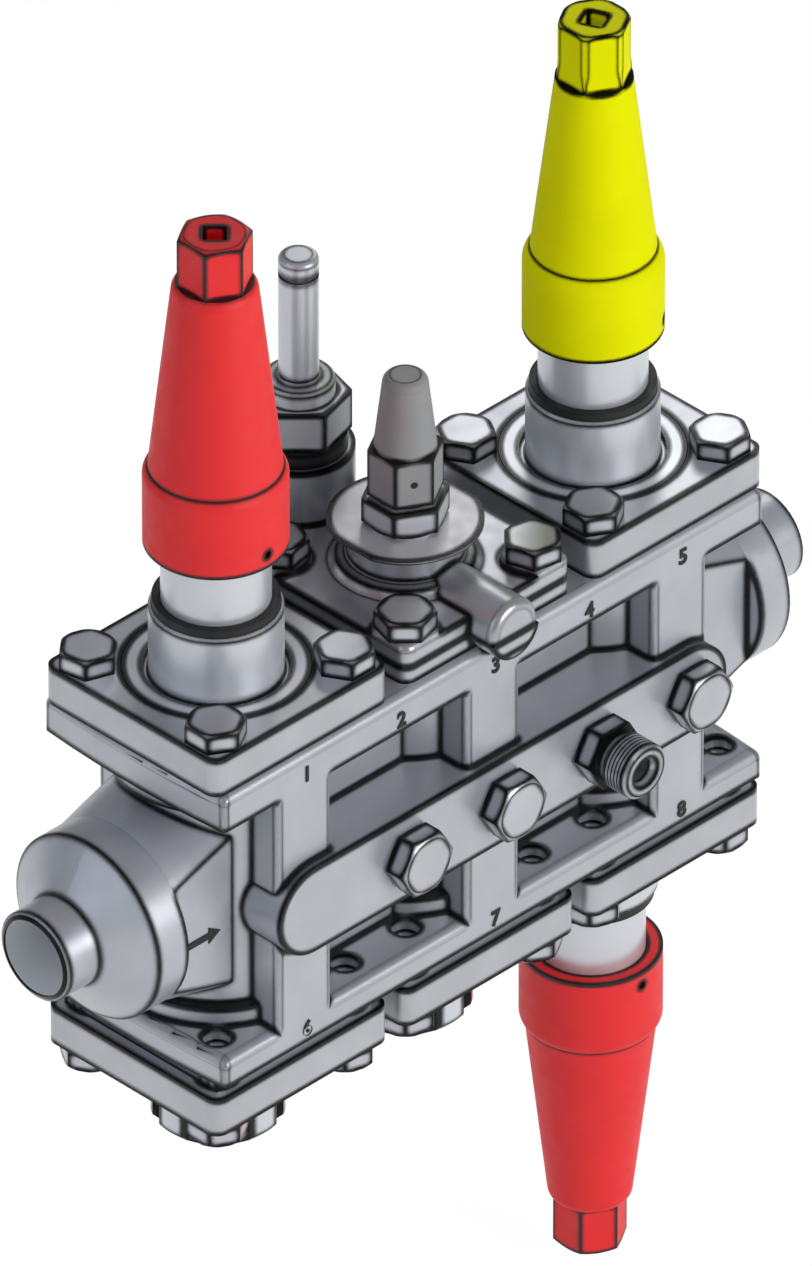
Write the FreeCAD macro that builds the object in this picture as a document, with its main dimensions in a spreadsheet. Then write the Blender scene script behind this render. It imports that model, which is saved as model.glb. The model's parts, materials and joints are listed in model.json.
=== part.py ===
import FreeCAD, Part
import math
import os
import re
import Sketcher

# A six-module valve station for a DN 25 refrigeration line.
# The origin is the centre of the inlet weld face, X runs with the flow and Z is up.
# Every module is drawn in its own frame: its axis is Z and the flow axis is at height 0.
# The top modules stand as drawn, and the bottom ones are turned half a turn about X.

doc = FreeCAD.newDocument("ValveStation")
sheet = doc.addObject("Spreadsheet::Sheet", "Sizes")

# The driving sizes, in millimetres and degrees
SIZES = [
    ("pipe_radius", 16.85, "outside of the weld nipple, 33.7 pipe"),
    ("bore_radius", 14.25, "bore of the weld nipple, 2.6 wall"),
    ("bevel", 1.5, "weld bevel on the nipple"),
    ("bore_length", 36.0, "machined bore behind a weld face"),
    ("cored_radius", 15.5, "cast passage behind the machined bore"),
    ("nipple_length", 15.3, "straight pipe stub"),
    ("shoulder_length", 10.8, "steep cone behind the stub"),
    ("collar_end", 40.0, "face to the step of the flats"),
    ("collar_radius", 34.75, "round end of the neck"),
    ("neck_root_radius", 45.6, "neck cone at the module axis"),
    ("neck_flat", 27.5, "flats of the neck from the axis"),
    ("inlet_distance", 87.8, "weld face to the first module axis"),
    ("pitch", 90.7, "between module axes"),
    ("slab_half_width", 43.5, "half width of the casting"),
    ("slab_overhang", 39.5, "module axis to the end of the casting"),
    ("end_bulge_radius", 474.0, "bow of the casting's end faces"),
    ("slab_corner", 2.0, "upright corners of the slabs"),
    ("slab_edge", 3.4, "rounded long edges of the slabs"),
    ("cover_face", 63.5, "flow axis to the faces the covers sit on"),
    ("top_slab_low", 49.2, "underside of the top slab"),
    ("low_slab_high", 46.5, "upper face of the lower slab, below the axis"),
    ("low_slab_low", 57.6, "underside of the lower slab, below the axis"),
    ("face_pad_half", 37.0, "half side of the machined pads"),
    ("barrel_radius", 34.0, "outside of a module barrel"),
    ("foot_radius", 37.4, "ring where a barrel meets a slab"),
    ("foot_height", 7.2, "height of that ring"),
    ("wall_half", 23.2, "half thickness of the wall between barrels"),
    ("rib_low", 14.0, "upright rib, towards the inlet"),
    ("rib_high", 12.0, "upright rib, towards the outlet"),
    ("rib_edge", 2.15, "rounded edges of the ribs"),
    ("pocket_fillet", 2.1, "inside corners of the casting"),
    ("boss_radius", 17.25, "end radius of the long port boss"),
    ("boss_front", 47.8, "front face of the port boss"),
    ("chamber_radius", 27.0, "module bore in the casting"),
    ("inlet_web_top", 16.0, "seat of the inlet stop, below the axis"),
    ("web_thickness", 6.0, "seat webs"),
    ("solenoid_web_top", 3.0, "seat of the main valve"),
    ("regulating_web_top", 20.0, "seat of the regulating module"),
    ("outlet_web_low", 14.0, "seat of the outlet stop, below the axis"),
    ("port_radius", 10.0, "opening in each seat web"),
    ("passage_radius", 9.0, "cross passages between stations"),
    ("low_passage_drop", 40.0, "passage from strainer to blank chamber"),
    ("high_passage_rise", 34.0, "passage from solenoid to regulating chamber"),
    ("outlet_drop_radius", 7.0, "drop from the outlet chamber to the bore"),
    ("outlet_drop_depth", 25.0, "centre of that drop's foot, below the axis"),
    ("outlet_drop_inset", 46.0, "weld face to the drop"),
    ("outlet_bore_depth", 54.0, "outlet bore"),
    ("bolt_offset", 30.7, "bolts from the module axis, in X and in Y"),
    ("bolt_core_radius", 5.05, "bolt below its head"),
    ("tapped_radius", 5.1, "tapped hole"),
    ("bolt_clear_radius", 6.6, "bolt hole in a cover"),
    ("bolt_head_flats", 19.0, "across flats of the bolt heads"),
    ("bolt_head_height", 7.5, "height of the bolt heads"),
    ("bolt_depth", 12.5, "bolt reach below the cover face"),
    ("cover_half", 41.8, "half side of the square covers"),
    ("cover_corner", 5.0, "upright corners of the covers"),
    ("cover_thickness", 15.0, "thickness of the covers"),
    ("bonnet_radius", 32.3, "round bonnet inside the clamp flange"),
    ("bonnet_foot_radius", 35.0, "step that the clamp flange holds"),
    ("bonnet_foot_height", 7.5, "height of that step"),
    ("seat_gap", 0.3, "clearance between parts that don't fit tightly"),
    ("running_gap", 0.05, "clearance of a sliding or turning fit"),
    ("spigot_depth", 13.5, "spigot below the cover face"),
    ("seal_section", 3.0, "square of the spigot seals"),
    ("seal_inset", 7.5, "cover face to the far side of the spigot seal groove"),
    ("seal_play", 0.2, "play of a spigot seal in its groove"),
    ("neck_radius", 23.2, "shoulder neck of the bonnets"),
    ("neck_groove_width", 2.1, "groove round the foot of the neck"),
    ("neck_groove_depth", 2.0, "depth of that groove"),
    ("neck_top", 104.4, "top of the shoulder neck"),
    ("neck_chamfer", 1.0, "edge of the neck"),
    ("ledge_low", 72.0, "underside of the packing ledge"),
    ("ledge_high", 77.0, "top of the packing ledge"),
    ("ledge_radius", 7.5, "hole in the packing ledge"),
    ("gland_radius", 14.6, "gland inside the bonnet"),
    ("packing_height", 7.0, "stem packing"),
    ("gland_neck_radius", 19.0, "part of the gland above the bonnet"),
    ("gland_top", 140.0, "top of the gland"),
    ("spindle_radius", 7.0, "valve spindle"),
    ("spindle_end_radius", 5.0, "turned end of the spindle"),
    ("spindle_end_length", 12.0, "length of that end"),
    ("spindle_top", 188.0, "top of a closed spindle"),
    ("neck_seal_radius", 22.0, "seal ring under the cap"),
    ("neck_seal_height", 3.0, "its height"),
    ("plug_radius", 15.0, "valve disc"),
    ("plug_thickness", 7.0, "valve disc"),
    ("plug_hub_radius", 10.5, "hub over the spindle's foot"),
    ("plug_hub_height", 10.0, "height of the hub"),
    ("spindle_foot", 8.0, "spindle held inside the plug"),
    ("throttle_length", 9.0, "tapered nose of the regulating plug"),
    ("throttle_tip_radius", 4.0, "end of that nose"),
    ("stop_travel", 14.0, "lift of the stop valves"),
]

# Sizes of the seal caps, the solenoid module and the small parts
SIZES += [
    ("cap_rim_radius", 25.0, "rim of a red cap"),
    ("cap_rim_low", 130.6, "open end of a red cap"),
    ("cap_rim_high", 157.0, "top of its straight rim"),
    ("cap_cone_low", 161.5, "foot of its cone"),
    ("cap_cone_radius", 23.1, "foot of its cone"),
    ("cap_cone_top_radius", 14.95, "top of its cone"),
    ("cap_cone_high", 233.9, "top of its cone"),
    ("cap_hex_low", 236.6, "foot of its hexagon"),
    ("cap_top", 256.0, "top of every cap"),
    ("cap_hex_flats", 23.0, "across flats on a cap"),
    ("cap_hex_turned_radius", 10.75, "turned edge on top of the hexagon"),
    ("cap_shoulder_radius", 5.0, "round between rim and cone"),
    ("cap_neck_radius", 13.0, "foot of the hexagon"),
    ("yellow_rim_radius", 24.5, "rim of the yellow cap"),
    ("yellow_rim_low", 130.0, "open end of the yellow cap"),
    ("yellow_rim_high", 156.5, "top of its straight rim"),
    ("yellow_cone_low", 162.8, "foot of its cone"),
    ("yellow_cone_radius", 21.85, "foot of its cone"),
    ("yellow_cone_top_radius", 12.6, "top of its cone"),
    ("yellow_cone_high", 240.0, "top of its cone"),
    ("cap_socket", 8.2, "square socket on a cap"),
    ("cap_socket_depth", 8.0, "depth of that socket"),
    ("cap_bore_radius", 19.3, "bore of a cap over the gland"),
    ("cap_gasket_height", 2.0, "gasket inside a cap"),
    ("cap_gasket_inner", 15.6, "hole in that gasket"),
    ("cap_hollow_low_radius", 15.5, "hollow above the gasket"),
    ("cap_hollow_top_radius", 9.0, "top of the hollow"),
    ("cap_hollow_top", 226.0, "top of the hollow"),
    ("vent_radius", 1.5, "vent hole in a cap rim"),
    ("vent_height", 136.0, "height of that hole"),
    ("blank_neck_top", 86.0, "end of the bottom covers' necks"),
    ("drain_plug_head", 22.6, "height of the bottom plugs"),
    ("drain_plug_chamfer", 2.4, "turned edge of the bottom plugs"),
    ("drain_plug_notches", 8, "wrench notches round a bottom plug"),
    ("drain_notch_width", 6.0, "width of a notch"),
    ("drain_notch_depth", 2.6, "depth of a notch"),
    ("drain_plug_socket", 12.0, "across flats of the recess in a bottom plug"),
    ("drain_plug_radius", 10.0, "thread of the bottom plugs"),
    ("drain_plug_depth", 14.0, "reach of the bottom plugs"),
    ("strainer_radius", 21.0, "strainer basket"),
    ("strainer_wall", 1.2, "wall of the basket"),
    ("strainer_rim", 5.0, "solid rings at the basket's ends"),
    ("strainer_slot", 3.2, "width of its slots"),
    ("strainer_slots", 16, "slots round the basket"),
    ("plate_half", 40.3, "half side of the solenoid plate and cover"),
    ("plate_corner", 4.5, "upright corners of both"),
    ("plate_thickness", 6.8, "solenoid plate"),
    ("solenoid_cover_top", 79.0, "bolt faces of the solenoid cover"),
    ("cover_relief", 1.8, "cover surface below its bolt faces"),
    ("bolt_face_radius", 11.5, "round faces under the cover's bolts"),
    ("cover_edge", 2.7, "rounded top edge of that cover"),
    ("hub_low_radius", 26.6, "foot of the cover's hub"),
    ("hub_mid_radius", 23.9, "step of the hub"),
    ("hub_high_radius", 20.8, "top of the hub's foot"),
    ("hub_rise", 2.0, "height of the hub's foot"),
    ("hub_neck_radius", 20.0, "neck of the hub"),
    ("hub_neck_top", 93.0, "top of the neck"),
    ("arm_radius", 11.2, "half-round arm to the front"),
    ("arm_shift", 1.2, "arm axis from the module axis"),
    ("arm_rise", 8.8, "arm axis above the covers' joint"),
    ("arm_reach", 52.0, "end of the arm"),
    ("arm_end_radius", 3.0, "rounded end of the arm"),
    ("tower_shift", 1.0, "tower from the module axis, in X"),
    ("tower_reach", 52.4, "tower behind the module axis"),
    ("tower_radius", 19.4, "solenoid tower"),
    ("tower_top", 99.0, "top of the tower"),
    ("tube_washer_radius", 17.0, "washer under the tube nut"),
    ("tube_washer_height", 6.4, "height of that washer"),
    ("tube_nut_flats", 31.5, "across flats of the tube nut"),
    ("tube_nut_height", 15.6, "height of the tube nut"),
    ("tube_collar_radius", 12.6, "collar of the armature tube"),
    ("tube_collar_height", 6.0, "collar above the nut"),
    ("tube_radius", 7.0, "armature tube"),
    ("tube_top", 177.0, "end of the armature tube"),
    ("tube_bore_radius", 5.5, "bore of the armature tube"),
    ("tube_groove_depth", 0.8, "clip groove near the tube's end"),
    ("armature_length", 40.0, "sliding armature"),
    ("armature_travel", 3.0, "lift of the armature"),
    ("sleeve_radius", 20.0, "cylinder for the main piston"),
    ("sleeve_low", 44.0, "lower end of that cylinder"),
    ("piston_low", 46.0, "underside of the piston's head"),
    ("piston_head_height", 12.0, "piston head"),
    ("piston_stem_radius", 9.0, "piston stem"),
    ("piston_disc_radius", 15.0, "disc on the main seat"),
    ("piston_disc_thickness", 6.0, "disc on the main seat"),
    ("piston_travel", 8.0, "lift of the main piston"),
    ("tag_radius", 27.0, "round tag under the manual nut"),
    ("tag_flat", 25.5, "flats of the tag from the axis"),
    ("tag_low", 93.0, "underside of the tag"),
    ("tag_thickness", 1.5, "tag"),
    ("manual_nut_flats", 27.0, "across flats of the manual gland nut"),
    ("manual_nut_top", 105.0, "top of that nut"),
    ("manual_stem_radius", 7.7, "thread of the nut in the hub"),
    ("manual_stem_depth", 12.0, "reach of that thread"),
    ("manual_neck_radius", 8.0, "neck of the nut inside the grey cap"),
    ("manual_neck_top", 116.0, "top of that neck"),
    ("manual_spindle_radius", 4.5, "manual opening spindle"),
    ("manual_spindle_low", 74.0, "lower end of that spindle"),
    ("manual_spindle_top", 134.0, "upper end of that spindle"),
    ("grey_gasket_height", 1.0, "gasket under the grey cap"),
    ("grey_hex_flats", 23.3, "across flats of the grey cap"),
    ("grey_hex_top", 124.5, "top of its hexagon"),
    ("grey_cone_radius", 11.0, "foot of its cone"),
    ("grey_cone_top_radius", 8.0, "top of its cone"),
    ("grey_cone_top", 150.5, "top of its cone"),
    ("grey_end_radius", 5.6, "flat end of the grey cap"),
    ("grey_top", 153.5, "end of the grey cap"),
    ("grey_hollow_radius", 5.6, "hollow of the grey cap"),
    ("grey_hollow_top", 145.0, "top of that hollow"),
    ("port_step", 45.35, "between the side ports"),
    ("port_plug_flats", 22.0, "across flats of the side plugs"),
    ("port_plug_head", 8.0, "height of the side plugs"),
    ("port_thread_radius", 6.5, "thread of the side plugs"),
    ("port_thread_depth", 12.0, "reach of the side plugs"),
    ("port_hole_depth", 16.0, "side port holes"),
    ("port_washer_radius", 10.6, "washers under the side plugs"),
    ("port_washer_height", 1.0, "their thickness"),
    ("service_thread_radius", 10.5, "outside thread of the side nipple"),
    ("service_neck_radius", 8.6, "neck behind that thread"),
    ("service_neck_length", 2.5, "length of that neck"),
    ("service_length", 23.0, "reach of the side nipple"),
    ("service_chamfer", 1.4, "end of the thread"),
    ("service_seat_radius", 6.0, "mouth of the seat cone"),
    ("service_seat_depth", 2.7, "depth of the seat cone"),
    ("service_bore_radius", 4.4, "bore of the side nipple"),
]

ALIASES = {name for name, value, note in SIZES}

for row, (name, value, note) in enumerate(SIZES, start=1):
    sheet.set("A%d" % row, name)
    sheet.set("B%d" % row, str(value))
    sheet.set("C%d" % row, note)
    sheet.setAlias("B%d" % row, name)
doc.recompute()


def formula(text):
    """Turn plain size names into cells of the sheet."""
    return re.sub(r"[a-z_]+", lambda word: named_cell(word.group()), text)


def named_cell(word):
    return "Sizes." + word if word in ALIASES else word


def number(text):
    """The present value of a formula, in millimetres or degrees."""
    result = sheet.evalExpression(formula(text))
    return float(getattr(result, "Value", result))


def bind(item, **formulas):
    for name, text in formulas.items():
        item.setExpression(name, formula(text))


def new_body(label):
    body = doc.addObject("PartDesign::Body", label)
    body.Label = label
    return body


def seat(item, x="0", flipped=False):
    """Place an item at a module axis, turned half a turn where it hangs below the casting."""
    angle = 180 if flipped else 0
    item.Placement = FreeCAD.Placement(FreeCAD.Vector(number(x), 0, 0),
                                       FreeCAD.Rotation(FreeCAD.Vector(1, 0, 0), angle))
    item.setExpression("Placement.Base.x", formula(x))


def origin_plane(body, role):
    for feature in body.Origin.OriginFeatures:
        if feature.Role == role:
            return feature
    raise RuntimeError("no plane " + role)


def new_sketch(body, role, height="0"):
    """A sketch on one of the body's own origin planes, moved along its normal."""
    sketch = body.newObject("Sketcher::SketchObject", body.Label + "_sketch")
    sketch.AttachmentSupport = (origin_plane(body, role), [""])
    sketch.MapMode = "FlatFace"
    sketch.AttachmentOffset = FreeCAD.Placement(FreeCAD.Vector(0, 0, number(height)), FreeCAD.Rotation())
    sketch.setExpression("AttachmentOffset.Base.z", formula(height))
    return sketch


def hold_distance(sketch, kind, axis, edge, end, text):
    """Fix one coordinate of a sketch point by a formula."""
    if abs(number(text)) < 1e-9:
        sketch.addConstraint(Sketcher.Constraint("PointOnObject", edge, end, axis))
        return
    index = sketch.addConstraint(Sketcher.Constraint(kind, -1, 1, edge, end, number(text)))
    sketch.setExpression("Constraints[%d]" % index, formula(text))


def hold_point(sketch, edge, end, x, y):
    hold_distance(sketch, "DistanceX", -2, edge, end, x)
    hold_distance(sketch, "DistanceY", -1, edge, end, y)


def arc_edge(start, finish, radius):
    """An arc from start to finish, turning left where the radius is positive."""
    chord = finish - start
    middle = (start + finish) * 0.5
    left = FreeCAD.Vector(-chord.y, chord.x, 0).normalize()
    rise = math.sqrt(max(radius * radius - chord.Length ** 2 / 4, 0))
    centre = middle + left * math.copysign(rise, radius)
    first, last = (start, finish) if radius > 0 else (finish, start)
    angles = [math.atan2(point.y - centre.y, point.x - centre.x) for point in (first, last)]
    if angles[1] < angles[0]:
        angles[1] += 2 * math.pi
    circle = Part.Circle(centre, FreeCAD.Vector(0, 0, 1), abs(radius))
    return Part.ArcOfCircle(circle, angles[0], angles[1])


def outline(sketch, points):
    """Draw a closed outline.

    A point is (x, y), or (x, y, radius) where the edge that arrives there is an arc;
    a radius that starts with a minus sign turns to the right.
    """
    places = [FreeCAD.Vector(number(point[0]), number(point[1]), 0) for point in points]
    edges = []
    for index, point in enumerate(points):
        start, finish = places[index - 1], places[index]
        if len(point) == 2:
            edge = sketch.addGeometry(Part.LineSegment(start, finish), False)
            edges.append((edge, 1, 2))
            continue
        radius = number(point[2])
        edge = sketch.addGeometry(arc_edge(start, finish, radius), False)
        edges.append((edge, 1, 2) if radius > 0 else (edge, 2, 1))
    for index, point in enumerate(points):
        edge, start, finish = edges[index]
        follower, follower_start, follower_finish = edges[(index + 1) % len(points)]
        sketch.addConstraint(Sketcher.Constraint("Coincident", edge, finish, follower, follower_start))
        hold_point(sketch, edge, finish, point[0], point[1])
        if len(point) == 3:
            size = point[2].lstrip("-")
            held = sketch.addConstraint(Sketcher.Constraint("Radius", edge, number(size)))
            sketch.setExpression("Constraints[%d]" % held, formula(size))


def circles(sketch, centres, radius):
    for x, y in centres:
        centre = FreeCAD.Vector(number(x), number(y), 0)
        normal = FreeCAD.Vector(0, 0, 1)
        edge = sketch.addGeometry(Part.Circle(centre, normal, number(radius)), False)
        hold_point(sketch, edge, 3, x, y)
        held = sketch.addConstraint(Sketcher.Constraint("Radius", edge, number(radius)))
        sketch.setExpression("Constraints[%d]" % held, formula(radius))


def finish_feature(body, feature, sketch):
    doc.recompute()
    if "Invalid" in sketch.State or not feature.isValid():
        raise RuntimeError("%s: %s failed" % (body.Label, feature.Name))
    return feature


def pad(body, sketch, length):
    feature = body.newObject("PartDesign::Pad", body.Label + "_pad")
    feature.Profile = sketch
    bind(feature, Length=length)
    return finish_feature(body, feature, sketch)


def pocket(body, sketch, length, forward=False):
    """Cut along the sketch's normal where forward is true, and against it otherwise."""
    before = body.Shape.Volume
    feature = body.newObject("PartDesign::Pocket", body.Label + "_pocket")
    feature.Profile = sketch
    feature.Reversed = forward
    bind(feature, Length=length)
    finish_feature(body, feature, sketch)
    if body.Shape.Volume > before - 0.01:
        raise RuntimeError(body.Label + ": a pocket cut nothing")
    return feature


def pad_outline(body, points, low, high):
    """Add a prism between two heights."""
    sketch = new_sketch(body, "XY_Plane", low)
    outline(sketch, points)
    return pad(body, sketch, "%s - (%s)" % (high, low))


def pad_circles(body, centres, radius, low, high):
    sketch = new_sketch(body, "XY_Plane", low)
    circles(sketch, centres, radius)
    return pad(body, sketch, "%s - (%s)" % (high, low))


def bore(body, centres, radius, low, high):
    """Cut round holes between two heights."""
    sketch = new_sketch(body, "XY_Plane", low)
    circles(sketch, centres, radius)
    return pocket(body, sketch, "%s - (%s)" % (high, low), forward=True)


def cut_outline(body, points, low, high):
    sketch = new_sketch(body, "XY_Plane", low)
    outline(sketch, points)
    return pocket(body, sketch, "%s - (%s)" % (high, low), forward=True)


def revolve(body, points, role="XZ_Plane", axis="V_Axis"):
    """Turn a half profile about the sketch's own axis."""
    sketch = new_sketch(body, role)
    outline(sketch, points)
    feature = body.newObject("PartDesign::Revolution", body.Label + "_turned")
    feature.Profile = sketch
    feature.ReferenceAxis = (sketch, [axis])
    feature.Angle = 360
    return finish_feature(body, feature, sketch)


def turned(label, points, x="0", flipped=False):
    """A turned piece whose axis is its module's axis."""
    body = new_body(label)
    revolve(body, points)
    seat(body, x, flipped)
    return body


def square(half, corner):
    """A square with rounded corners, as outline points."""
    inner = "(%s - %s)" % (half, corner)
    return [
        (inner, "-" + half),
        (half, "-" + inner, corner),
        (half, inner),
        (inner, half, corner),
        ("-" + inner, half),
        ("-" + half, inner, corner),
        ("-" + half, "-" + inner),
        ("-" + inner, "-" + half, corner),
    ]


def hexagon(flats, turn="0", x="0", y="0"):
    """A hexagon by its width across flats, with one corner at the given angle."""
    points = []
    for corner in range(6):
        angle = "(%s + %d) * 1 deg" % (turn, 60 * corner)
        reach = "%s / sqrt(3)" % flats
        points.append(("%s + %s * cos(%s)" % (x, reach, angle), "%s + %s * sin(%s)" % (y, reach, angle)))
    return points


def fillet(body, radius, wanted):
    """Round the edges that a test picks."""
    base = body.Tip
    names = ["Edge%d" % (index + 1) for index, edge in enumerate(base.Shape.Edges) if wanted(edge)]
    if not names:
        raise RuntimeError(body.Label + ": no edge to round")
    feature = body.newObject("PartDesign::Fillet", body.Label + "_fillet")
    feature.Base = (base, names)
    bind(feature, Radius=radius)
    doc.recompute()
    if not feature.isValid():
        raise RuntimeError(body.Label + ": a fillet failed")
    return feature


def level_edge(edge, height):
    """Whether an edge lies flat at a height."""
    box = edge.BoundBox
    return abs(box.ZMin - height) < 0.01 and abs(box.ZMax - height) < 0.01


# The casting
AXES = ["inlet_distance", "inlet_distance + pitch", "inlet_distance + 2 * pitch"]
INLET, MIDDLE, OUTLET = AXES
LENGTH = "(2 * inlet_distance + 2 * pitch)"


def neck_side(inward):
    """The upper half outline of one neck, from its weld face towards its module axis."""
    root = "%s" % inward("inlet_distance")
    half = [
        (inward("0"), "bore_radius + 0.35"),
        (inward("bevel"), "pipe_radius"),
        (inward("nipple_length"), "pipe_radius"),
        (inward("nipple_length + shoulder_length"), "collar_radius"),
        (inward("collar_end"), "collar_radius"),
        (root, "neck_root_radius"),
        (root, "barrel_radius / 2"),
    ]
    return half


def bolt_places(axes=AXES):
    places = []
    for axis in axes:
        for x_sign, y_sign in ((-1, -1), (1, -1), (1, 1), (-1, 1)):
            places.append(("%s + %d * bolt_offset" % (axis, x_sign), "%d * bolt_offset" % y_sign))
    return places


def slab_outline():
    """Both slabs: straight long sides, rounded corners and slightly bowed ends."""
    low = "(inlet_distance - slab_overhang)"
    high = "(inlet_distance + 2 * pitch + slab_overhang)"
    side = "slab_half_width"
    corner = "slab_corner"
    return [
        (low + " + " + corner, "-" + side, corner),
        (high + " - " + corner, "-" + side),
        (high, "-%s + %s" % (side, corner), corner),
        (high, "%s - %s" % (side, corner), "end_bulge_radius"),
        (high + " - " + corner, side, corner),
        (low + " + " + corner, side),
        (low, "%s - %s" % (side, corner), corner),
        (low, "-%s + %s" % (side, corner), "end_bulge_radius"),
    ]


def rib_outline(axis):
    """One rib, from front to back, with rounded outer edges."""
    low = "(%s - rib_low)" % axis
    high = "(%s + rib_high)" % axis
    inner = "(slab_half_width - rib_edge)"
    return [
        (low + " + rib_edge", "-slab_half_width", "rib_edge"),
        (high + " - rib_edge", "-slab_half_width"),
        (high, "-" + inner, "rib_edge"),
        (high, inner),
        (high + " - rib_edge", "slab_half_width", "rib_edge"),
        (low + " + rib_edge", "slab_half_width"),
        (low, inner, "rib_edge"),
        (low, "-" + inner),
    ]


def rectangle(low_x, high_x, low_y, high_y):
    return [(low_x, low_y), (high_x, low_y), (high_x, high_y), (low_x, high_y)]


def add_necks(body):
    """Both necks on one turned core, with their side flats milled."""
    inlet = neck_side(lambda x: x)
    outlet = neck_side(lambda x: "%s - (%s)" % (LENGTH, x))
    points = inlet + outlet[::-1] + [(LENGTH, "0"), ("0", "0")]
    revolve(body, points, axis="H_Axis")
    reach = "(neck_root_radius - neck_flat + 10)"
    for y_low in ("neck_flat", "-neck_flat - " + reach):
        for low, high in (("collar_end", INLET), (OUTLET, LENGTH + " - collar_end")):
            points = rectangle(low, high, y_low, "%s + %s" % (y_low, reach))
            cut_outline(body, points, "-neck_root_radius - 5", "neck_root_radius + 5")


def add_slabs(body):
    pad_outline(body, rectangle(INLET, OUTLET, "-wall_half", "wall_half"), "-low_slab_low", "cover_face")
    pad_outline(body, slab_outline(), "top_slab_low", "cover_face")
    pad_outline(body, slab_outline(), "-low_slab_low", "-low_slab_high")
    width = 2 * number("wall_half") + 1
    for height in ("cover_face", "-low_slab_high"):
        level = number(height)

        def outer(edge, level=level):
            inside = edge.BoundBox.YMin > -width / 2 and edge.BoundBox.YMax < width / 2
            return level_edge(edge, level) and not inside

        fillet(body, "slab_edge", outer)


def add_barrels(body):
    centres = [(axis, "0") for axis in AXES]
    pad_circles(body, centres, "barrel_radius", "-low_slab_low", "cover_face")
    pad_circles(body, centres, "foot_radius", "top_slab_low - foot_height", "top_slab_low + 1")
    pad_circles(body, centres, "foot_radius", "-low_slab_high - 1", "-low_slab_high + foot_height")
    for axis in AXES:
        pad_outline(body, rib_outline(axis), "-low_slab_low", "top_slab_low + slab_edge")
    for axis in AXES:
        pads = rectangle(axis + " - face_pad_half", axis + " + face_pad_half",
                         "-face_pad_half", "face_pad_half")
        pad_outline(body, pads, "-cover_face", "-low_slab_low")


def add_port_boss(body):
    """The long boss for the side ports, on the front of the casting."""
    sketch = new_sketch(body, "XZ_Plane", "0")
    outline(sketch, [
        (INLET, "-boss_radius", "boss_radius"),
        (OUTLET, "-boss_radius"),
        (OUTLET + " + boss_radius", "0", "boss_radius"),
        (OUTLET, "boss_radius", "boss_radius"),
        (INLET, "boss_radius"),
        (INLET + " - boss_radius", "0", "boss_radius"),
    ])
    pad(body, sketch, "boss_front")


ARM_HEIGHT = "(cover_face + arm_rise)"


def arm_half(height):
    """Half the width of the arm's round section at a height."""
    return "sqrt(arm_radius ^ 2 - (%s - (%s)) ^ 2)" % (ARM_HEIGHT, height)


def add_arm_boss(body):
    """The half-round lug that carries the arm of the solenoid cover."""
    sketch = new_sketch(body, "XZ_Plane", "wall_half")
    middle = "(%s + arm_shift)" % MIDDLE
    half = arm_half("cover_face")
    outline(sketch, [
        (middle + " - " + half, "cover_face"),
        (middle + " + " + half, "cover_face", "arm_radius"),
    ])
    pad(body, sketch, "arm_reach - wall_half")


def cut_chambers(body):
    """The module bores, the seats between them and the passages that join the stations."""
    floors = [
        (INLET, "-inlet_web_top", "cover_face"),
        (INLET, "-cover_face", "-inlet_web_top - web_thickness"),
        (MIDDLE, "solenoid_web_top", "cover_face"),
        (MIDDLE, "-cover_face", "solenoid_web_top - web_thickness"),
        (OUTLET, "regulating_web_top", "cover_face"),
        (OUTLET, "web_thickness - outlet_web_low", "regulating_web_top - web_thickness"),
        (OUTLET, "-cover_face", "-outlet_web_low"),
    ]
    for axis, low, high in floors:
        bore(body, [(axis, "0")], "chamber_radius", low, high)
    bore(body, [(INLET, "0")], "port_radius", "-inlet_web_top - web_thickness", "-inlet_web_top")
    bore(body, [(MIDDLE, "0")], "port_radius", "solenoid_web_top - web_thickness", "solenoid_web_top")
    bore(body, [(OUTLET, "0")], "port_radius", "-outlet_web_low", "regulating_web_top")
    cross_bore(body, "bore_radius", "0", "0", "bore_length")
    cross_bore(body, "cored_radius", "0", "bore_length", INLET + " - chamber_radius / 2")
    cross_bore(body, "bore_radius", "0", LENGTH + " - bore_length", LENGTH)
    cross_bore(body, "cored_radius", "0", LENGTH + " - outlet_bore_depth", LENGTH + " - bore_length")
    cross_bore(body, "passage_radius", "-low_passage_drop", INLET, MIDDLE)
    cross_bore(body, "passage_radius", "high_passage_rise", MIDDLE, OUTLET)
    drop = "(%s - outlet_drop_inset)" % LENGTH
    cross_bore(body, "outlet_drop_radius", "-outlet_drop_depth", OUTLET, drop)
    bore(body, [(drop, "0")], "outlet_drop_radius", "-outlet_drop_depth", "0")


def cross_bore(body, radius, height, low, high):
    """A bore along X at a height."""
    sketch = new_sketch(body, "YZ_Plane", low)
    circles(sketch, [("0", height)], radius)
    pocket(body, sketch, "%s - (%s)" % (high, low), forward=True)


PORTS = ["%s + %d * port_step" % (INLET, index) for index in (1, 2, 3, 4)]
NIPPLE_PORT = 2


def drill_holes(body):
    bore(body, bolt_places(), "tapped_radius", "top_slab_low - 1", "cover_face")
    bore(body, bolt_places(), "tapped_radius", "-cover_face", "-low_slab_high + 1")
    sketch = new_sketch(body, "XZ_Plane", "boss_front")
    circles(sketch, [(x, "0") for x in PORTS], "port_thread_radius + running_gap")
    pocket(body, sketch, "port_hole_depth")


def make_casting():
    body = new_body("valve_body")
    add_necks(body)
    add_slabs(body)
    add_barrels(body)
    add_port_boss(body)
    add_arm_boss(body)
    cut_chambers(body)
    drill_holes(body)
    return body


# Pieces that every module shares
def group(label, pieces):
    """Like pieces in one node, as separate solids."""
    item = doc.addObject("Part::Compound", label)
    item.Label = label
    item.Links = pieces
    return item


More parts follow.
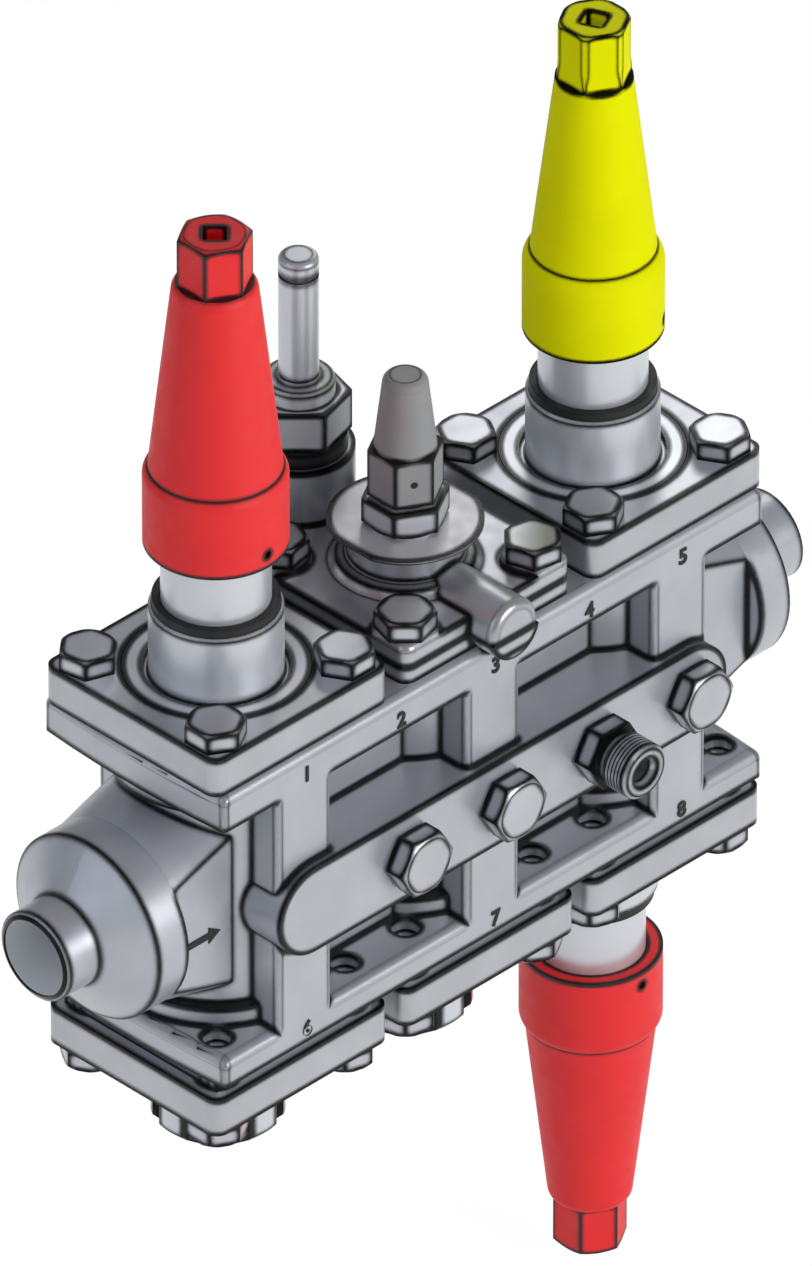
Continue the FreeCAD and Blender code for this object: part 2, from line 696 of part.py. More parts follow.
def make_bolts(label, axis, head_seat, corner_angles, flipped=False):
    """Four cover bolts of one module, in one node, heads on the cover."""
    solids = []
    flats = number("bolt_head_flats")
    height = number("bolt_head_height")
    seat_height = number(head_seat)
    tip = number("cover_face - bolt_depth")
    for (x_sign, y_sign), angle in zip(((-1, -1), (1, -1), (1, 1), (-1, 1)), corner_angles):
        centre = FreeCAD.Vector(x_sign, y_sign, 0) * number("bolt_offset")
        base = centre + FreeCAD.Vector(0, 0, seat_height)
        corners = []
        for corner in range(7):
            turn = math.radians(angle + 60 * corner)
            corners.append(base + FreeCAD.Vector(math.cos(turn), math.sin(turn), 0) * flats / math.sqrt(3))
        head = Part.Face(Part.makePolygon(corners)).extrude(FreeCAD.Vector(0, 0, height))
        turned_edge = Part.makeCone(flats / 2 + 0.9 + height, flats / 2 + 0.2 - 0.9, height + 0.8, base)
        shank = Part.makeCylinder(number("bolt_core_radius"), seat_height - tip + 1,
                                  centre + FreeCAD.Vector(0, 0, tip))
        solids.append(head.common(turned_edge).fuse(shank).removeSplitter())
    group = doc.addObject("Part::Feature", label)
    group.Label = label
    group.Shape = Part.makeCompound([solid for shape in solids for solid in shape.Solids])
    seat(group, axis, flipped)
    return group


SEAL_LOW = "(cover_face - seal_inset)"


def make_seal(label, axis, flipped=False):
    """The seal in the groove of a module's spigot."""
    inner = "chamber_radius - seal_section"
    outer = "chamber_radius - running_gap"
    points = [
        (inner, SEAL_LOW + " + seal_play"),
        (outer, SEAL_LOW + " + seal_play"),
        (outer, SEAL_LOW + " + seal_section"),
        (inner, SEAL_LOW + " + seal_section"),
    ]
    return turned(label, points, axis, flipped)


def spigot_steps():
    """Lower right side of a spigot with its seal groove, from its end up to the cover face."""
    side = "chamber_radius - seat_gap"
    root = "chamber_radius - seal_section - seat_gap"
    return [
        (side, "cover_face - spigot_depth"),
        (side, SEAL_LOW),
        (root, SEAL_LOW),
        (root, SEAL_LOW + " + seal_section + seal_play"),
        (side, SEAL_LOW + " + seal_section + seal_play"),
        (side, "cover_face"),
    ]


def bolt_holes(body, low, high):
    places = []
    for x_sign, y_sign in ((-1, -1), (1, -1), (1, 1), (-1, 1)):
        places.append(("%d * bolt_offset" % x_sign, "%d * bolt_offset" % y_sign))
    bore(body, places, "bolt_clear_radius", low, high)


# The stop and regulating modules
def make_clamp_flange(label, axis, flipped=False):
    """The square flange that clamps a round bonnet to the casting."""
    body = new_body(label)
    top = "cover_face + cover_thickness"
    pad_outline(body, square("cover_half", "cover_corner"), "cover_face", top)
    bore(body, [("0", "0")], "bonnet_radius + seat_gap", "cover_face", top)
    bore(body, [("0", "0")], "bonnet_foot_radius + seat_gap", "cover_face",
         "cover_face + bonnet_foot_height")
    bolt_holes(body, "cover_face", top)
    seat(body, axis, flipped)
    return body


def make_bonnet(label, axis, flipped=False):
    top = "cover_face + cover_thickness"
    foot = "cover_face + bonnet_foot_height"
    groove = "neck_radius + neck_groove_width"
    points = [("chamber_radius - 6", "cover_face - spigot_depth")] + spigot_steps() + [
        ("bonnet_foot_radius", "cover_face"),
        ("bonnet_foot_radius", foot),
        ("bonnet_radius", foot),
        ("bonnet_radius", top),
        (groove, top),
        (groove, top + " - neck_groove_depth"),
        ("neck_radius", top + " - neck_groove_depth"),
        ("neck_radius", "neck_top - neck_chamfer"),
        ("neck_radius - neck_chamfer", "neck_top"),
        ("gland_radius + running_gap", "neck_top"),
        ("gland_radius + running_gap", "ledge_high"),
        ("ledge_radius", "ledge_high"),
        ("ledge_radius", "ledge_low"),
        ("chamber_radius - 6", "ledge_low - 6"),
    ]
    return turned(label, points, axis, flipped)


def make_packing(label, axis, flipped=False):
    points = [
        ("spindle_radius + running_gap", "ledge_high"),
        ("gland_radius - running_gap", "ledge_high"),
        ("gland_radius - running_gap", "ledge_high + packing_height"),
        ("spindle_radius + running_gap", "ledge_high + packing_height"),
    ]
    return turned(label, points, axis, flipped)


def make_gland(label, axis, flipped=False):
    """The gland: it presses the packing, and its upper part is the narrow neck under the cap."""
    points = [
        ("spindle_radius + running_gap", "ledge_high + packing_height"),
        ("gland_radius", "ledge_high + packing_height"),
        ("gland_radius", "neck_top"),
        ("gland_neck_radius", "neck_top"),
        ("gland_neck_radius", "gland_top - neck_chamfer"),
        ("gland_neck_radius - neck_chamfer", "gland_top"),
        ("spindle_radius + running_gap", "gland_top"),
    ]
    return turned(label, points, axis, flipped)


def make_neck_seal(label, axis, flipped=False):
    points = [
        ("gland_neck_radius + seat_gap", "neck_top"),
        ("neck_seal_radius", "neck_top"),
        ("neck_seal_radius", "neck_top + neck_seal_height"),
        ("gland_neck_radius + seat_gap", "neck_top + neck_seal_height"),
    ]
    return turned(label, points, axis, flipped)


def make_spindle(label, axis, foot, lift="0", flipped=False):
    """A spindle whose foot stands in its plug, with a turned end and a wrench flat on top."""
    top = "spindle_top + " + lift
    body = new_body(label)
    points = [
        ("0", foot),
        ("spindle_radius", foot),
        ("spindle_radius", top + " - spindle_end_length"),
        ("spindle_end_radius", top + " - spindle_end_length"),
        ("spindle_end_radius", top + " - neck_chamfer"),
        ("spindle_end_radius - neck_chamfer", top),
        ("0", top),
    ]
    revolve(body, points)
    flat = "0.7 * spindle_end_radius"
    for low, high in (("-spindle_end_radius - 1", "-" + flat), (flat, "spindle_end_radius + 1")):
        points = rectangle("-spindle_end_radius - 1", "spindle_end_radius + 1", low, high)
        cut_outline(body, points, top + " - 0.8 * spindle_end_length", top + " + 1")
    seat(body, axis, flipped)
    return body


def make_stop_plug(label, axis, seat_height, flipped=False):
    """A flat valve disc with a hub that holds the spindle's foot."""
    disc = seat_height + " + plug_thickness"
    hub = disc + " + plug_hub_height"
    points = [
        ("0", seat_height),
        ("plug_radius", seat_height),
        ("plug_radius", disc),
        ("plug_hub_radius", disc),
        ("plug_hub_radius", hub),
        ("spindle_radius + running_gap", hub),
        ("spindle_radius + running_gap", hub + " - spindle_foot"),
        ("0", hub + " - spindle_foot"),
    ]
    return turned(label, points, axis, flipped)


def make_throttle_plug(label, axis, seat_height):
    """The regulating plug: its tapered nose reaches down through the seat."""
    disc = seat_height + " + plug_thickness"
    hub = disc + " + plug_hub_height"
    points = [
        ("0", seat_height + " - throttle_length"),
        ("throttle_tip_radius", seat_height + " - throttle_length"),
        ("port_radius - seat_gap", seat_height),
        ("plug_radius", seat_height),
        ("plug_radius", disc),
        ("plug_hub_radius", disc),
        ("plug_hub_radius", hub),
        ("spindle_radius + running_gap", hub),
        ("spindle_radius + running_gap", hub + " - spindle_foot"),
        ("0", hub + " - spindle_foot"),
    ]
    return turned(label, points, axis)


def make_cap_gasket(label, axis, flipped=False):
    points = [
        ("cap_gasket_inner", "gland_top"),
        ("cap_bore_radius - 0.3", "gland_top"),
        ("cap_bore_radius - 0.3", "gland_top + cap_gasket_height"),
        ("cap_gasket_inner", "gland_top + cap_gasket_height"),
    ]
    return turned(label, points, axis, flipped)


def cap_hollow():
    """The inside of a seal cap, from its mouth up to the middle of its roof."""
    shelf = "gland_top + cap_gasket_height"
    return [
        ("0", "cap_hollow_top"),
        ("cap_hollow_top_radius", "cap_hollow_top"),
        ("cap_hollow_low_radius", shelf),
        ("cap_bore_radius", shelf),
    ]


def cut_socket(body, turn):
    """The square wrench socket on top of a cap, with one side at the given angle."""
    points = []
    for corner in range(4):
        angle = "(%s + %d) * 1 deg" % (turn, 45 + 90 * corner)
        points.append(("cap_socket / sqrt(2) * cos(%s)" % angle, "cap_socket / sqrt(2) * sin(%s)" % angle))
    cut_outline(body, points, "cap_top - cap_socket_depth", "cap_top + 1")


def mill_hexagon(body, low, turn):
    """Leave a hexagon of the cap's top by cutting everything round it."""
    sketch = new_sketch(body, "XY_Plane", low)
    circles(sketch, [("0", "0")], "cap_rim_radius")
    outline(sketch, hexagon("cap_hex_flats", turn))
    pocket(body, sketch, "cap_top + 1 - (%s)" % low, forward=True)


def cut_vent(body, height, angle):
    """The small vent hole in a cap's rim, at an angle about the axis."""
    tool = doc.addObject("Part::Feature", body.Label + "_vent")
    reach = number("cap_rim_radius + 2")
    direction = FreeCAD.Vector(math.cos(math.radians(angle)), math.sin(math.radians(angle)), 0)
    start = FreeCAD.Vector(0, 0, number(height)) + direction * number("cap_bore_radius - 2")
    tool.Shape = Part.makeCylinder(number("vent_radius"), reach, start, direction)
    vented = doc.addObject("Part::Cut", body.Label + "_vented")
    vented.Base = body
    vented.Tool = tool
    doc.recompute()
    return vented


def make_red_cap(label, axis, vent_angle, flipped=False):
    """A tall seal cap: straight rim, long cone and a hexagon with a square socket."""
    body = new_body(label + "_solid")
    reach = "cap_hex_flats / sqrt(3)"
    points = cap_hollow() + [
        ("cap_bore_radius", "cap_rim_low"),
        ("cap_rim_radius", "cap_rim_low"),
        ("cap_rim_radius", "cap_rim_high"),
        ("cap_cone_radius", "cap_cone_low", "cap_shoulder_radius"),
        ("cap_cone_top_radius", "cap_cone_high"),
        ("cap_neck_radius + 0.4", "cap_hex_low", "cap_neck_radius / 3"),
        (reach, "cap_top - (%s - cap_hex_turned_radius) / 2" % reach),
        ("cap_hex_turned_radius", "cap_top"),
        ("0", "cap_top"),
    ]
    revolve(body, points)
    mill_hexagon(body, "cap_hex_low", "30")
    cut_socket(body, "45")
    return finish_cap(label, body, axis, "vent_height", vent_angle, flipped)


def make_yellow_cap(label, axis, vent_angle):
    """The regulating module's cap: its hexagon is milled into the end of the cone."""
    body = new_body(label + "_solid")
    points = cap_hollow() + [
        ("cap_bore_radius", "yellow_rim_low"),
        ("yellow_rim_radius", "yellow_rim_low"),
        ("yellow_rim_radius", "yellow_rim_high"),
        ("yellow_cone_radius", "yellow_cone_low", "1.6 * cap_shoulder_radius"),
        ("yellow_cone_top_radius", "yellow_cone_high"),
        ("yellow_cone_top_radius", "cap_top - 1"),
        ("yellow_cone_top_radius - 0.8", "cap_top"),
        ("0", "cap_top"),
    ]
    revolve(body, points)
    mill_hexagon(body, "yellow_cone_high - 7", "30")
    cut_socket(body, "24")
    return finish_cap(label, body, axis, "vent_height - 1", vent_angle, False)


def finish_cap(label, body, axis, vent_height, vent_angle, flipped):
    vented = cut_vent(body, vent_height, vent_angle)
    vented.Label = label
    seat(vented, axis, flipped)
    return vented


def make_valve_module(name, axis, flipped=False):
    """What the three spindle modules have in common."""
    return [
        make_clamp_flange(name + "_clamp_flange", axis, flipped),
        make_bonnet(name + "_bonnet", axis, flipped),
        make_packing(name + "_packing", axis, flipped),
        make_gland(name + "_gland", axis, flipped),
        make_neck_seal(name + "_neck_seal", axis, flipped),
        make_cap_gasket(name + "_cap_gasket", axis, flipped),
    ]


# The bottom covers with their plugs
def make_blank_cover(label, axis):
    """A square cover with a short neck that a plug closes."""
    body = new_body(label)
    top = "cover_face + cover_thickness"
    pad_outline(body, square("cover_half", "cover_corner"), "cover_face", top)
    side = spigot_steps()
    revolve(body, [("0", "cover_face - spigot_depth")] + side + [("0", "cover_face")])
    revolve(body, [
        ("0", top + " - 1"),
        ("neck_radius", top + " - 1"),
        ("neck_radius", "blank_neck_top - neck_chamfer"),
        ("neck_radius - neck_chamfer", "blank_neck_top"),
        ("0", "blank_neck_top"),
    ])
    bore(body, [("0", "0")], "strainer_radius - 3", "cover_face - spigot_depth", "cover_face")
    bore(body, [("0", "0")], "drain_plug_radius + running_gap", "cover_face - 1", "blank_neck_top")
    bolt_holes(body, "cover_face", top)
    seat(body, axis, True)
    return body


def make_drain_plug(label, axis):
    """The plug in a bottom cover: a thick round head with wrench notches, and a short thread."""
    body = new_body(label)
    top = "blank_neck_top + drain_plug_head"
    edge = "neck_radius"
    revolve(body, [
        ("0", "blank_neck_top - drain_plug_depth"),
        ("drain_plug_radius", "blank_neck_top - drain_plug_depth"),
        ("drain_plug_radius", "blank_neck_top"),
        (edge, "blank_neck_top"),
        (edge, top + " - drain_plug_chamfer"),
        (edge + " - drain_plug_chamfer", top),
        ("0", top),
    ])
    cut_outline(body, hexagon("drain_plug_socket"), top + " - drain_plug_socket / 2", top)
    sketch = new_sketch(body, "XY_Plane", "blank_neck_top + drain_plug_chamfer")
    bind(sketch, **{"AttachmentOffset.Rotation.Angle": "180 / drain_plug_notches"})
    outline(sketch, rectangle(edge + " - drain_notch_depth", edge + " + 1", "-drain_notch_width / 2",
                              "drain_notch_width / 2"))
    notch = pocket(body, sketch, "drain_plug_head", forward=True)
    repeat_round(body, sketch, notch, "drain_plug_notches")
    seat(body, axis, True)
    return body


def repeat_round(body, sketch, feature, count):
    """Repeat a cut all round the body's axis."""
    pattern = body.newObject("PartDesign::PolarPattern", body.Label + "_pattern")
    pattern.Originals = [feature]
    pattern.Axis = (sketch, ["N_Axis"])
    pattern.Angle = 360
    pattern.Occurrences = round(number(count))
    body.Tip = pattern
    doc.recompute()


def make_strainer(axis):
    """The strainer basket: rings at both ends, and slots all round between them."""
    body = new_body("strainer_basket")
    low = "inlet_web_top + web_thickness"
    high = "cover_face - spigot_depth"
    inner = "strainer_radius - strainer_wall"
    revolve(body, [
        (inner, low),
        ("strainer_radius", low),
        ("strainer_radius", high),
        (inner, high),
    ])
    sketch = new_sketch(body, "XY_Plane", low + " + strainer_rim")
    outline(sketch, rectangle(inner + " - 1", "strainer_radius + 1", "-strainer_slot / 2",
                              "strainer_slot / 2"))
    slot = pocket(body, sketch, "%s - (%s) - 2 * strainer_rim" % (high, low), forward=True)
    repeat_round(body, sketch, slot, "strainer_slots")
    seat(body, axis, True)
    return body


# The solenoid module
def add_arm(body, low):
    """The arm towards the front: upright sides below its axis and half round above it."""
    sketch = new_sketch(body, "XZ_Plane", "hub_neck_radius")
    outline(sketch, [
        ("arm_shift - arm_radius", low),
        ("arm_shift + arm_radius", low),
        ("arm_shift + arm_radius", ARM_HEIGHT),
        ("arm_shift", ARM_HEIGHT + " + arm_radius", "arm_radius"),
        ("arm_shift - arm_radius", ARM_HEIGHT, "arm_radius"),
    ])
    pad(body, sketch, "arm_reach - hub_neck_radius")
    end = number("-arm_reach")
    low_edge = number(low) + 0.01

    def rounded(edge):
        box = edge.BoundBox
        return abs(box.YMin - end) < 0.01 and abs(box.YMax - end) < 0.01 and box.ZMax > low_edge

    fillet(body, "arm_end_radius", rounded)


def lower_cover_surface(body):
    """Leave round faces for the bolts at the cover's corners and lower the rest."""
    far = "(plate_half + 1)"
    side = "(bolt_offset - sqrt(bolt_face_radius ^ 2 - (plate_half + 1 - bolt_offset) ^ 2))"
    near = "(bolt_offset - bolt_face_radius / sqrt(2))"
    points = []
    for x_sign, y_sign in ((1, -1), (1, 1), (-1, 1), (-1, -1)):
        corner = [(side, far, ""), (near, near, "-bolt_face_radius"), (far, side, "-bolt_face_radius")]
        if x_sign * y_sign > 0:
            corner = [(far, side, ""), (near, near, "-bolt_face_radius"), (side, far, "-bolt_face_radius")]
        for x, y, radius in corner:
            point = ("%d * %s" % (x_sign, x), "%d * %s" % (y_sign, y))
            points.append(point + (radius,) if radius else point)
    cut_outline(body, points, "solenoid_cover_top - cover_relief", "solenoid_cover_top")


def make_solenoid_plate():
    """The flat plate under the cover, with the cylinder that guides the main piston."""
    body = new_body("solenoid_plate")
    top = "cover_face + plate_thickness"
    pad_outline(body, square("plate_half", "plate_corner"), "cover_face", top)
    revolve(body, [("sleeve_radius / 2", "cover_face - spigot_depth")] + spigot_steps()
            + [("sleeve_radius / 2", "cover_face")])
    revolve(body, [
        ("sleeve_radius - 1", "sleeve_low"),
        ("chamber_radius - seal_section - seat_gap", "sleeve_low"),
        ("chamber_radius - seal_section - seat_gap", SEAL_LOW),
        ("sleeve_radius - 1", SEAL_LOW),
    ])
    sketch = new_sketch(body, "XZ_Plane", "hub_neck_radius")
    outline(sketch, [
        ("arm_shift - " + arm_half("cover_face"), "cover_face", "arm_radius"),
        ("arm_shift + " + arm_half("cover_face"), "cover_face"),
        ("arm_shift + " + arm_half(top), top, "arm_radius"),
        ("arm_shift - " + arm_half(top), top),
    ])
    pad(body, sketch, "arm_reach - hub_neck_radius")
    bore(body, [("0", "0")], "sleeve_radius", "sleeve_low", top)
    bolt_holes(body, "cover_face", top)
    seat(body, MIDDLE)
    return body


def make_solenoid_cover():
    """The cover with its hub, the arm to the front and the tower behind."""
    body = new_body("solenoid_cover")
    low = "cover_face + plate_thickness"
    pad_outline(body, square("plate_half", "plate_corner"), low, "solenoid_cover_top")
    level = number("solenoid_cover_top")
    fillet(body, "cover_edge", lambda edge: level_edge(edge, level))
    lower_cover_surface(body)
    revolve(body, [
        ("0", low),
        ("hub_low_radius", low),
        ("hub_low_radius", "solenoid_cover_top - cover_relief"),
        ("hub_mid_radius", "solenoid_cover_top + 0.6 * hub_rise", "-2.5 * hub_rise"),
        ("hub_high_radius", "solenoid_cover_top + hub_rise"),
        ("hub_neck_radius", "solenoid_cover_top + hub_rise + 0.5"),
        ("hub_neck_radius", "hub_neck_top - neck_chamfer"),
        ("hub_neck_radius - neck_chamfer", "hub_neck_top"),
        ("0", "hub_neck_top"),
    ])
    add_arm(body, low)
    bridge = rectangle("tower_shift - tower_radius", "tower_shift + tower_radius", "0", "tower_reach")
    pad_outline(body, bridge, low, "solenoid_cover_top - cover_relief")
    pad_circles(body, [("tower_shift", "tower_reach")], "tower_radius", low, "tower_top")
    bore(body, [("tower_shift", "tower_reach")], "tube_collar_radius + running_gap",
         "tower_top - 12", "tower_top")
    bore(body, [("0", "0")], "manual_spindle_radius + running_gap", low, "hub_neck_top")
    bore(body, [("0", "0")], "manual_stem_radius + running_gap", "hub_neck_top - manual_stem_depth",
         "hub_neck_top")
    bolt_holes(body, low, "hub_neck_top")
    seat(body, MIDDLE)
    return body


def tower_turned(label, points):
    """A turned piece on the tower's own axis."""
    body = new_body(label)
    revolve(body, points)
    seat_on_tower(body)
    return body


def seat_on_tower(body):
    seat(body, MIDDLE + " + tower_shift")
    bind(body, **{"Placement.Base.y": "tower_reach"})


def make_tube_washer():
    return tower_turned("solenoid_tube_washer", [
        ("tube_collar_radius + seat_gap", "tower_top"),
        ("tube_washer_radius", "tower_top"),
        ("tube_washer_radius", "tower_top + tube_washer_height"),
        ("tube_collar_radius + seat_gap", "tower_top + tube_washer_height"),
    ])


NUT_LOW = "tower_top + tube_washer_height"
NUT_HIGH = NUT_LOW + " + tube_nut_height"


def make_tube_nut():
    body = new_body("solenoid_tube_nut")
    pad_outline(body, hexagon("tube_nut_flats", "15"), NUT_LOW, NUT_HIGH)
    bore(body, [("0", "0")], "tube_collar_radius + seat_gap", NUT_LOW, NUT_HIGH)
    seat_on_tower(body)
    return body


def make_armature_tube():
    """The closed tube that the solenoid coil slides over, with its collar and clip groove."""
    foot = "tower_top - 12"
    collar = NUT_HIGH + " + tube_collar_height"
    groove = "tube_top - 8"
    return tower_turned("solenoid_armature_tube", [
        ("tube_bore_radius", foot),
        ("tube_collar_radius", foot),
        ("tube_collar_radius", collar + " - neck_chamfer"),
        ("tube_collar_radius - neck_chamfer", collar),
        ("tube_radius + neck_chamfer", collar),
        ("tube_radius", collar + " + neck_chamfer"),
        ("tube_radius", groove),
        ("tube_radius - tube_groove_depth", groove),
        ("tube_radius - tube_groove_depth", groove + " + 1.5"),
        ("tube_radius", groove + " + 1.5"),
        ("tube_radius", "tube_top - 2"),
        ("tube_radius - 2", "tube_top", "2"),
        ("0", "tube_top"),
        ("0", "tube_top - 6"),
        ("tube_bore_radius", "tube_top - 6"),
    ])


def make_armature():
    foot = "tower_top - 12"
    side = "tube_bore_radius - running_gap"
    return tower_turned("solenoid_armature", [
        ("0", foot),
        (side, foot),
        (side, foot + " + armature_length"),
        ("0", foot + " + armature_length"),
    ])


def make_piston():
    """The main piston: a head in the cylinder, a stem and the disc on the seat."""
    side = "sleeve_radius - running_gap"
    return turned("solenoid_piston", [
        ("0", "solenoid_web_top"),
        ("piston_disc_radius", "solenoid_web_top"),
        ("piston_disc_radius", "solenoid_web_top + piston_disc_thickness"),
        ("piston_stem_radius", "solenoid_web_top + piston_disc_thickness"),
        ("piston_stem_radius", "piston_low"),
        (side, "piston_low"),
        (side, "piston_low + piston_head_height"),
        ("0", "piston_low + piston_head_height"),
    ], MIDDLE)


def make_tag():
    """The thin round tag between hub and nut, with a flat on two sides."""
    body = new_body("tag_disc")
    chord = "sqrt(tag_radius ^ 2 - tag_flat ^ 2)"
    pad_outline(body, [
        ("tag_flat", chord),
        ("0", "tag_radius", "tag_radius"),
        ("-tag_flat", chord, "tag_radius"),
        ("-tag_flat", "-" + chord),
        ("0", "-tag_radius", "tag_radius"),
        ("tag_flat", "-" + chord, "tag_radius"),
    ], "tag_low", "tag_low + tag_thickness")
    bore(body, [("0", "0")], "manual_stem_radius + seat_gap", "tag_low", "tag_low + tag_thickness")
    seat(body, MIDDLE)
    return body


def make_manual_nut():
    """The gland nut of the manual opening spindle, from its thread up to the neck in the cap."""
    body = new_body("manual_gland_nut")
    low = "tag_low + tag_thickness"
    revolve(body, [
        ("manual_spindle_radius + running_gap", "hub_neck_top - manual_stem_depth"),
        ("manual_stem_radius", "hub_neck_top - manual_stem_depth"),
        ("manual_stem_radius", low),
        ("manual_nut_flats / 2", low),
        ("manual_nut_flats / 2", low + " + 1.5"),
        ("manual_neck_radius", low + " + 1.5"),
        ("manual_neck_radius", "manual_neck_top"),
        ("manual_spindle_radius + running_gap", "manual_neck_top"),
    ])
    sketch = new_sketch(body, "XY_Plane", low + " + 1")
    circles(sketch, [("0", "0")], "manual_spindle_radius + running_gap")
    outline(sketch, hexagon("manual_nut_flats", "30"))
    pad(body, sketch, "manual_nut_top - (%s + 1)" % low)
    seat(body, MIDDLE)
    return body


SPINDLE_GROOVE = "hub_neck_top - 8"
GROOVE_ROOT = "manual_spindle_radius - 1.2"


def make_manual_spindle():
    """The manual opening spindle, with a groove for its own seal."""
    return turned("manual_spindle", [
        ("0", "manual_spindle_low"),
        ("manual_spindle_radius", "manual_spindle_low"),
        ("manual_spindle_radius", SPINDLE_GROOVE),
        (GROOVE_ROOT, SPINDLE_GROOVE),
        (GROOVE_ROOT, SPINDLE_GROOVE + " + 2"),
        ("manual_spindle_radius", SPINDLE_GROOVE + " + 2"),
        ("manual_spindle_radius", "manual_spindle_top - 1"),
        ("manual_spindle_radius - 1", "manual_spindle_top"),
        ("0", "manual_spindle_top"),
    ], MIDDLE)


def make_manual_seal():
    """The seal that rises with the manual spindle."""
    return turned("manual_spindle_seal", [
        (GROOVE_ROOT + " + running_gap", SPINDLE_GROOVE),
        ("manual_spindle_radius", SPINDLE_GROOVE),
        ("manual_spindle_radius", SPINDLE_GROOVE + " + 2"),
        (GROOVE_ROOT + " + running_gap", SPINDLE_GROOVE + " + 2"),
    ], MIDDLE)


def make_grey_gasket():
    return turned("manual_cap_gasket", [
        ("manual_neck_radius + seat_gap", "manual_nut_top"),
        ("grey_cone_radius", "manual_nut_top"),
        ("grey_cone_radius", "manual_nut_top + grey_gasket_height"),
        ("manual_neck_radius + seat_gap", "manual_nut_top + grey_gasket_height"),
    ], MIDDLE)


def make_grey_cap():
    """The cap over the manual spindle: a hexagon below a cone."""
    body = new_body("manual_cap")
    low = "manual_nut_top + grey_gasket_height"
    revolve(body, [
        ("manual_neck_radius + seat_gap", low),
        ("grey_cone_radius + 0.4", low),
        ("grey_cone_radius", "grey_hex_top"),
        ("grey_cone_top_radius", "grey_cone_top"),
        ("grey_end_radius", "grey_top", "3.5"),
        ("0", "grey_top"),
        ("0", "grey_hollow_top"),
        ("grey_hollow_radius", "grey_hollow_top"),
        ("grey_hollow_radius", "manual_neck_top + 6"),
        ("manual_neck_radius + seat_gap", "manual_neck_top + 4"),
    ])
    sketch = new_sketch(body, "XY_Plane", low)
    circles(sketch, [("0", "0")], "manual_neck_radius + seat_gap")
    outline(sketch, hexagon("grey_hex_flats", "30"))
    pad(body, sketch, "grey_hex_top - (%s)" % low)
    seat(body, MIDDLE)
    return body


# The side ports
def port_frame(body, x):
    """Turn a piece that is drawn upwards so that it points out of a side port."""
    turn = FreeCAD.Rotation(FreeCAD.Vector(1, 0, 0), 90)
    body.Placement = FreeCAD.Placement(FreeCAD.Vector(number(x), number("-boss_front"), 0), turn)
    bind(body, **{"Placement.Base.x": x, "Placement.Base.y": "-boss_front"})


def port_washer(index):
    body = new_body("port_washer_%d" % (index + 1))
    revolve(body, [
        ("port_thread_radius + seat_gap", "0"),
        ("port_washer_radius", "0"),
        ("port_washer_radius", "port_washer_height"),
        ("port_thread_radius + seat_gap", "port_washer_height"),
    ])
    port_frame(body, PORTS[index])
    return body


def port_plug(index):
    body = new_body("port_plug_%d" % (index + 1))
    top = "port_washer_height + port_plug_head"
    revolve(body, [
        ("0", "-port_thread_depth"),
        ("port_thread_radius", "-port_thread_depth"),
        ("port_thread_radius", "port_washer_height + 1"),
        ("0", "port_washer_height + 1"),
    ])
    pad_outline(body, hexagon("port_plug_flats", "0"), "port_washer_height", top)
    chamfer_hexagon(body, "port_plug_flats", top)
    port_frame(body, PORTS[index])
    return body


def chamfer_hexagon(body, flats, top):
    """Turn the upper corners of a hexagon down to a cone."""
    sketch = new_sketch(body, "XZ_Plane")
    outline(sketch, [
        (flats + " / 2 - 0.6", top),
        (flats + " / sqrt(3) + 1", top + " - (%s / sqrt(3) + 1.6 - %s / 2) * 0.55" % (flats, flats)),
        (flats + " / sqrt(3) + 1", top),
    ])
    feature = body.newObject("PartDesign::Groove", body.Label + "_turned_edge")
    feature.Profile = sketch
    feature.ReferenceAxis = (sketch, ["V_Axis"])
    feature.Angle = 360
    return finish_feature(body, feature, sketch)


def make_service_nipple():
    """The open side port: a hexagon, a neck and an outside thread with a seat cone in its mouth."""
    body = new_body("service_nipple")
    hex_top = "port_washer_height + port_plug_head"
    revolve(body, [
        ("service_bore_radius", "-port_thread_depth"),
        ("port_thread_radius", "-port_thread_depth"),
        ("port_thread_radius", "port_washer_height"),
        ("service_neck_radius", "port_washer_height"),
        ("service_neck_radius", hex_top + " + service_neck_length"),
        ("service_thread_radius - 1", hex_top + " + service_neck_length"),
        ("service_thread_radius", hex_top + " + service_neck_length + 1"),
        ("service_thread_radius", "service_length - service_chamfer"),
        ("service_thread_radius - service_chamfer", "service_length"),
        ("service_seat_radius", "service_length"),
        ("service_bore_radius", "service_length - service_seat_depth"),
    ])
    sketch = new_sketch(body, "XY_Plane", "port_washer_height")
    circles(sketch, [("0", "0")], "service_bore_radius")
    outline(sketch, hexagon("port_plug_flats", "0"))
    pad(body, sketch, "port_plug_head")
    port_frame(body, PORTS[NIPPLE_PORT])
    return body


def check_and_write(pieces):
    """Refuse a failed object or a bad shape, and then write every piece."""
    doc.recompute()
    for item in doc.Objects:
        if "Invalid" in item.State or "Error" in item.State:
            raise RuntimeError(item.Label + " is in a bad state")
    os.makedirs("parts", exist_ok=True)
    for piece in pieces:
        shape = piece.Shape
        if shape.isNull() or not shape.isValid():
            raise RuntimeError(piece.Label + " has a bad shape")
        shape.exportStep("parts/%s.step" % piece.Label)
        print(piece.Label, len(shape.Solids), round(shape.Volume))


def make_inlet_stop():
    name = "inlet_stop"
    hub = "-inlet_web_top + plug_thickness + plug_hub_height"
    return make_valve_module(name, INLET) + [
        make_stop_plug(name + "_plug", INLET, "-inlet_web_top"),
        make_spindle(name + "_spindle", INLET, hub + " - spindle_foot"),
        make_red_cap(name + "_cap", INLET, -90),
        make_bolts(name + "_bolts", INLET, "cover_face + cover_thickness", (30, 0, 15, 40)),
    ]


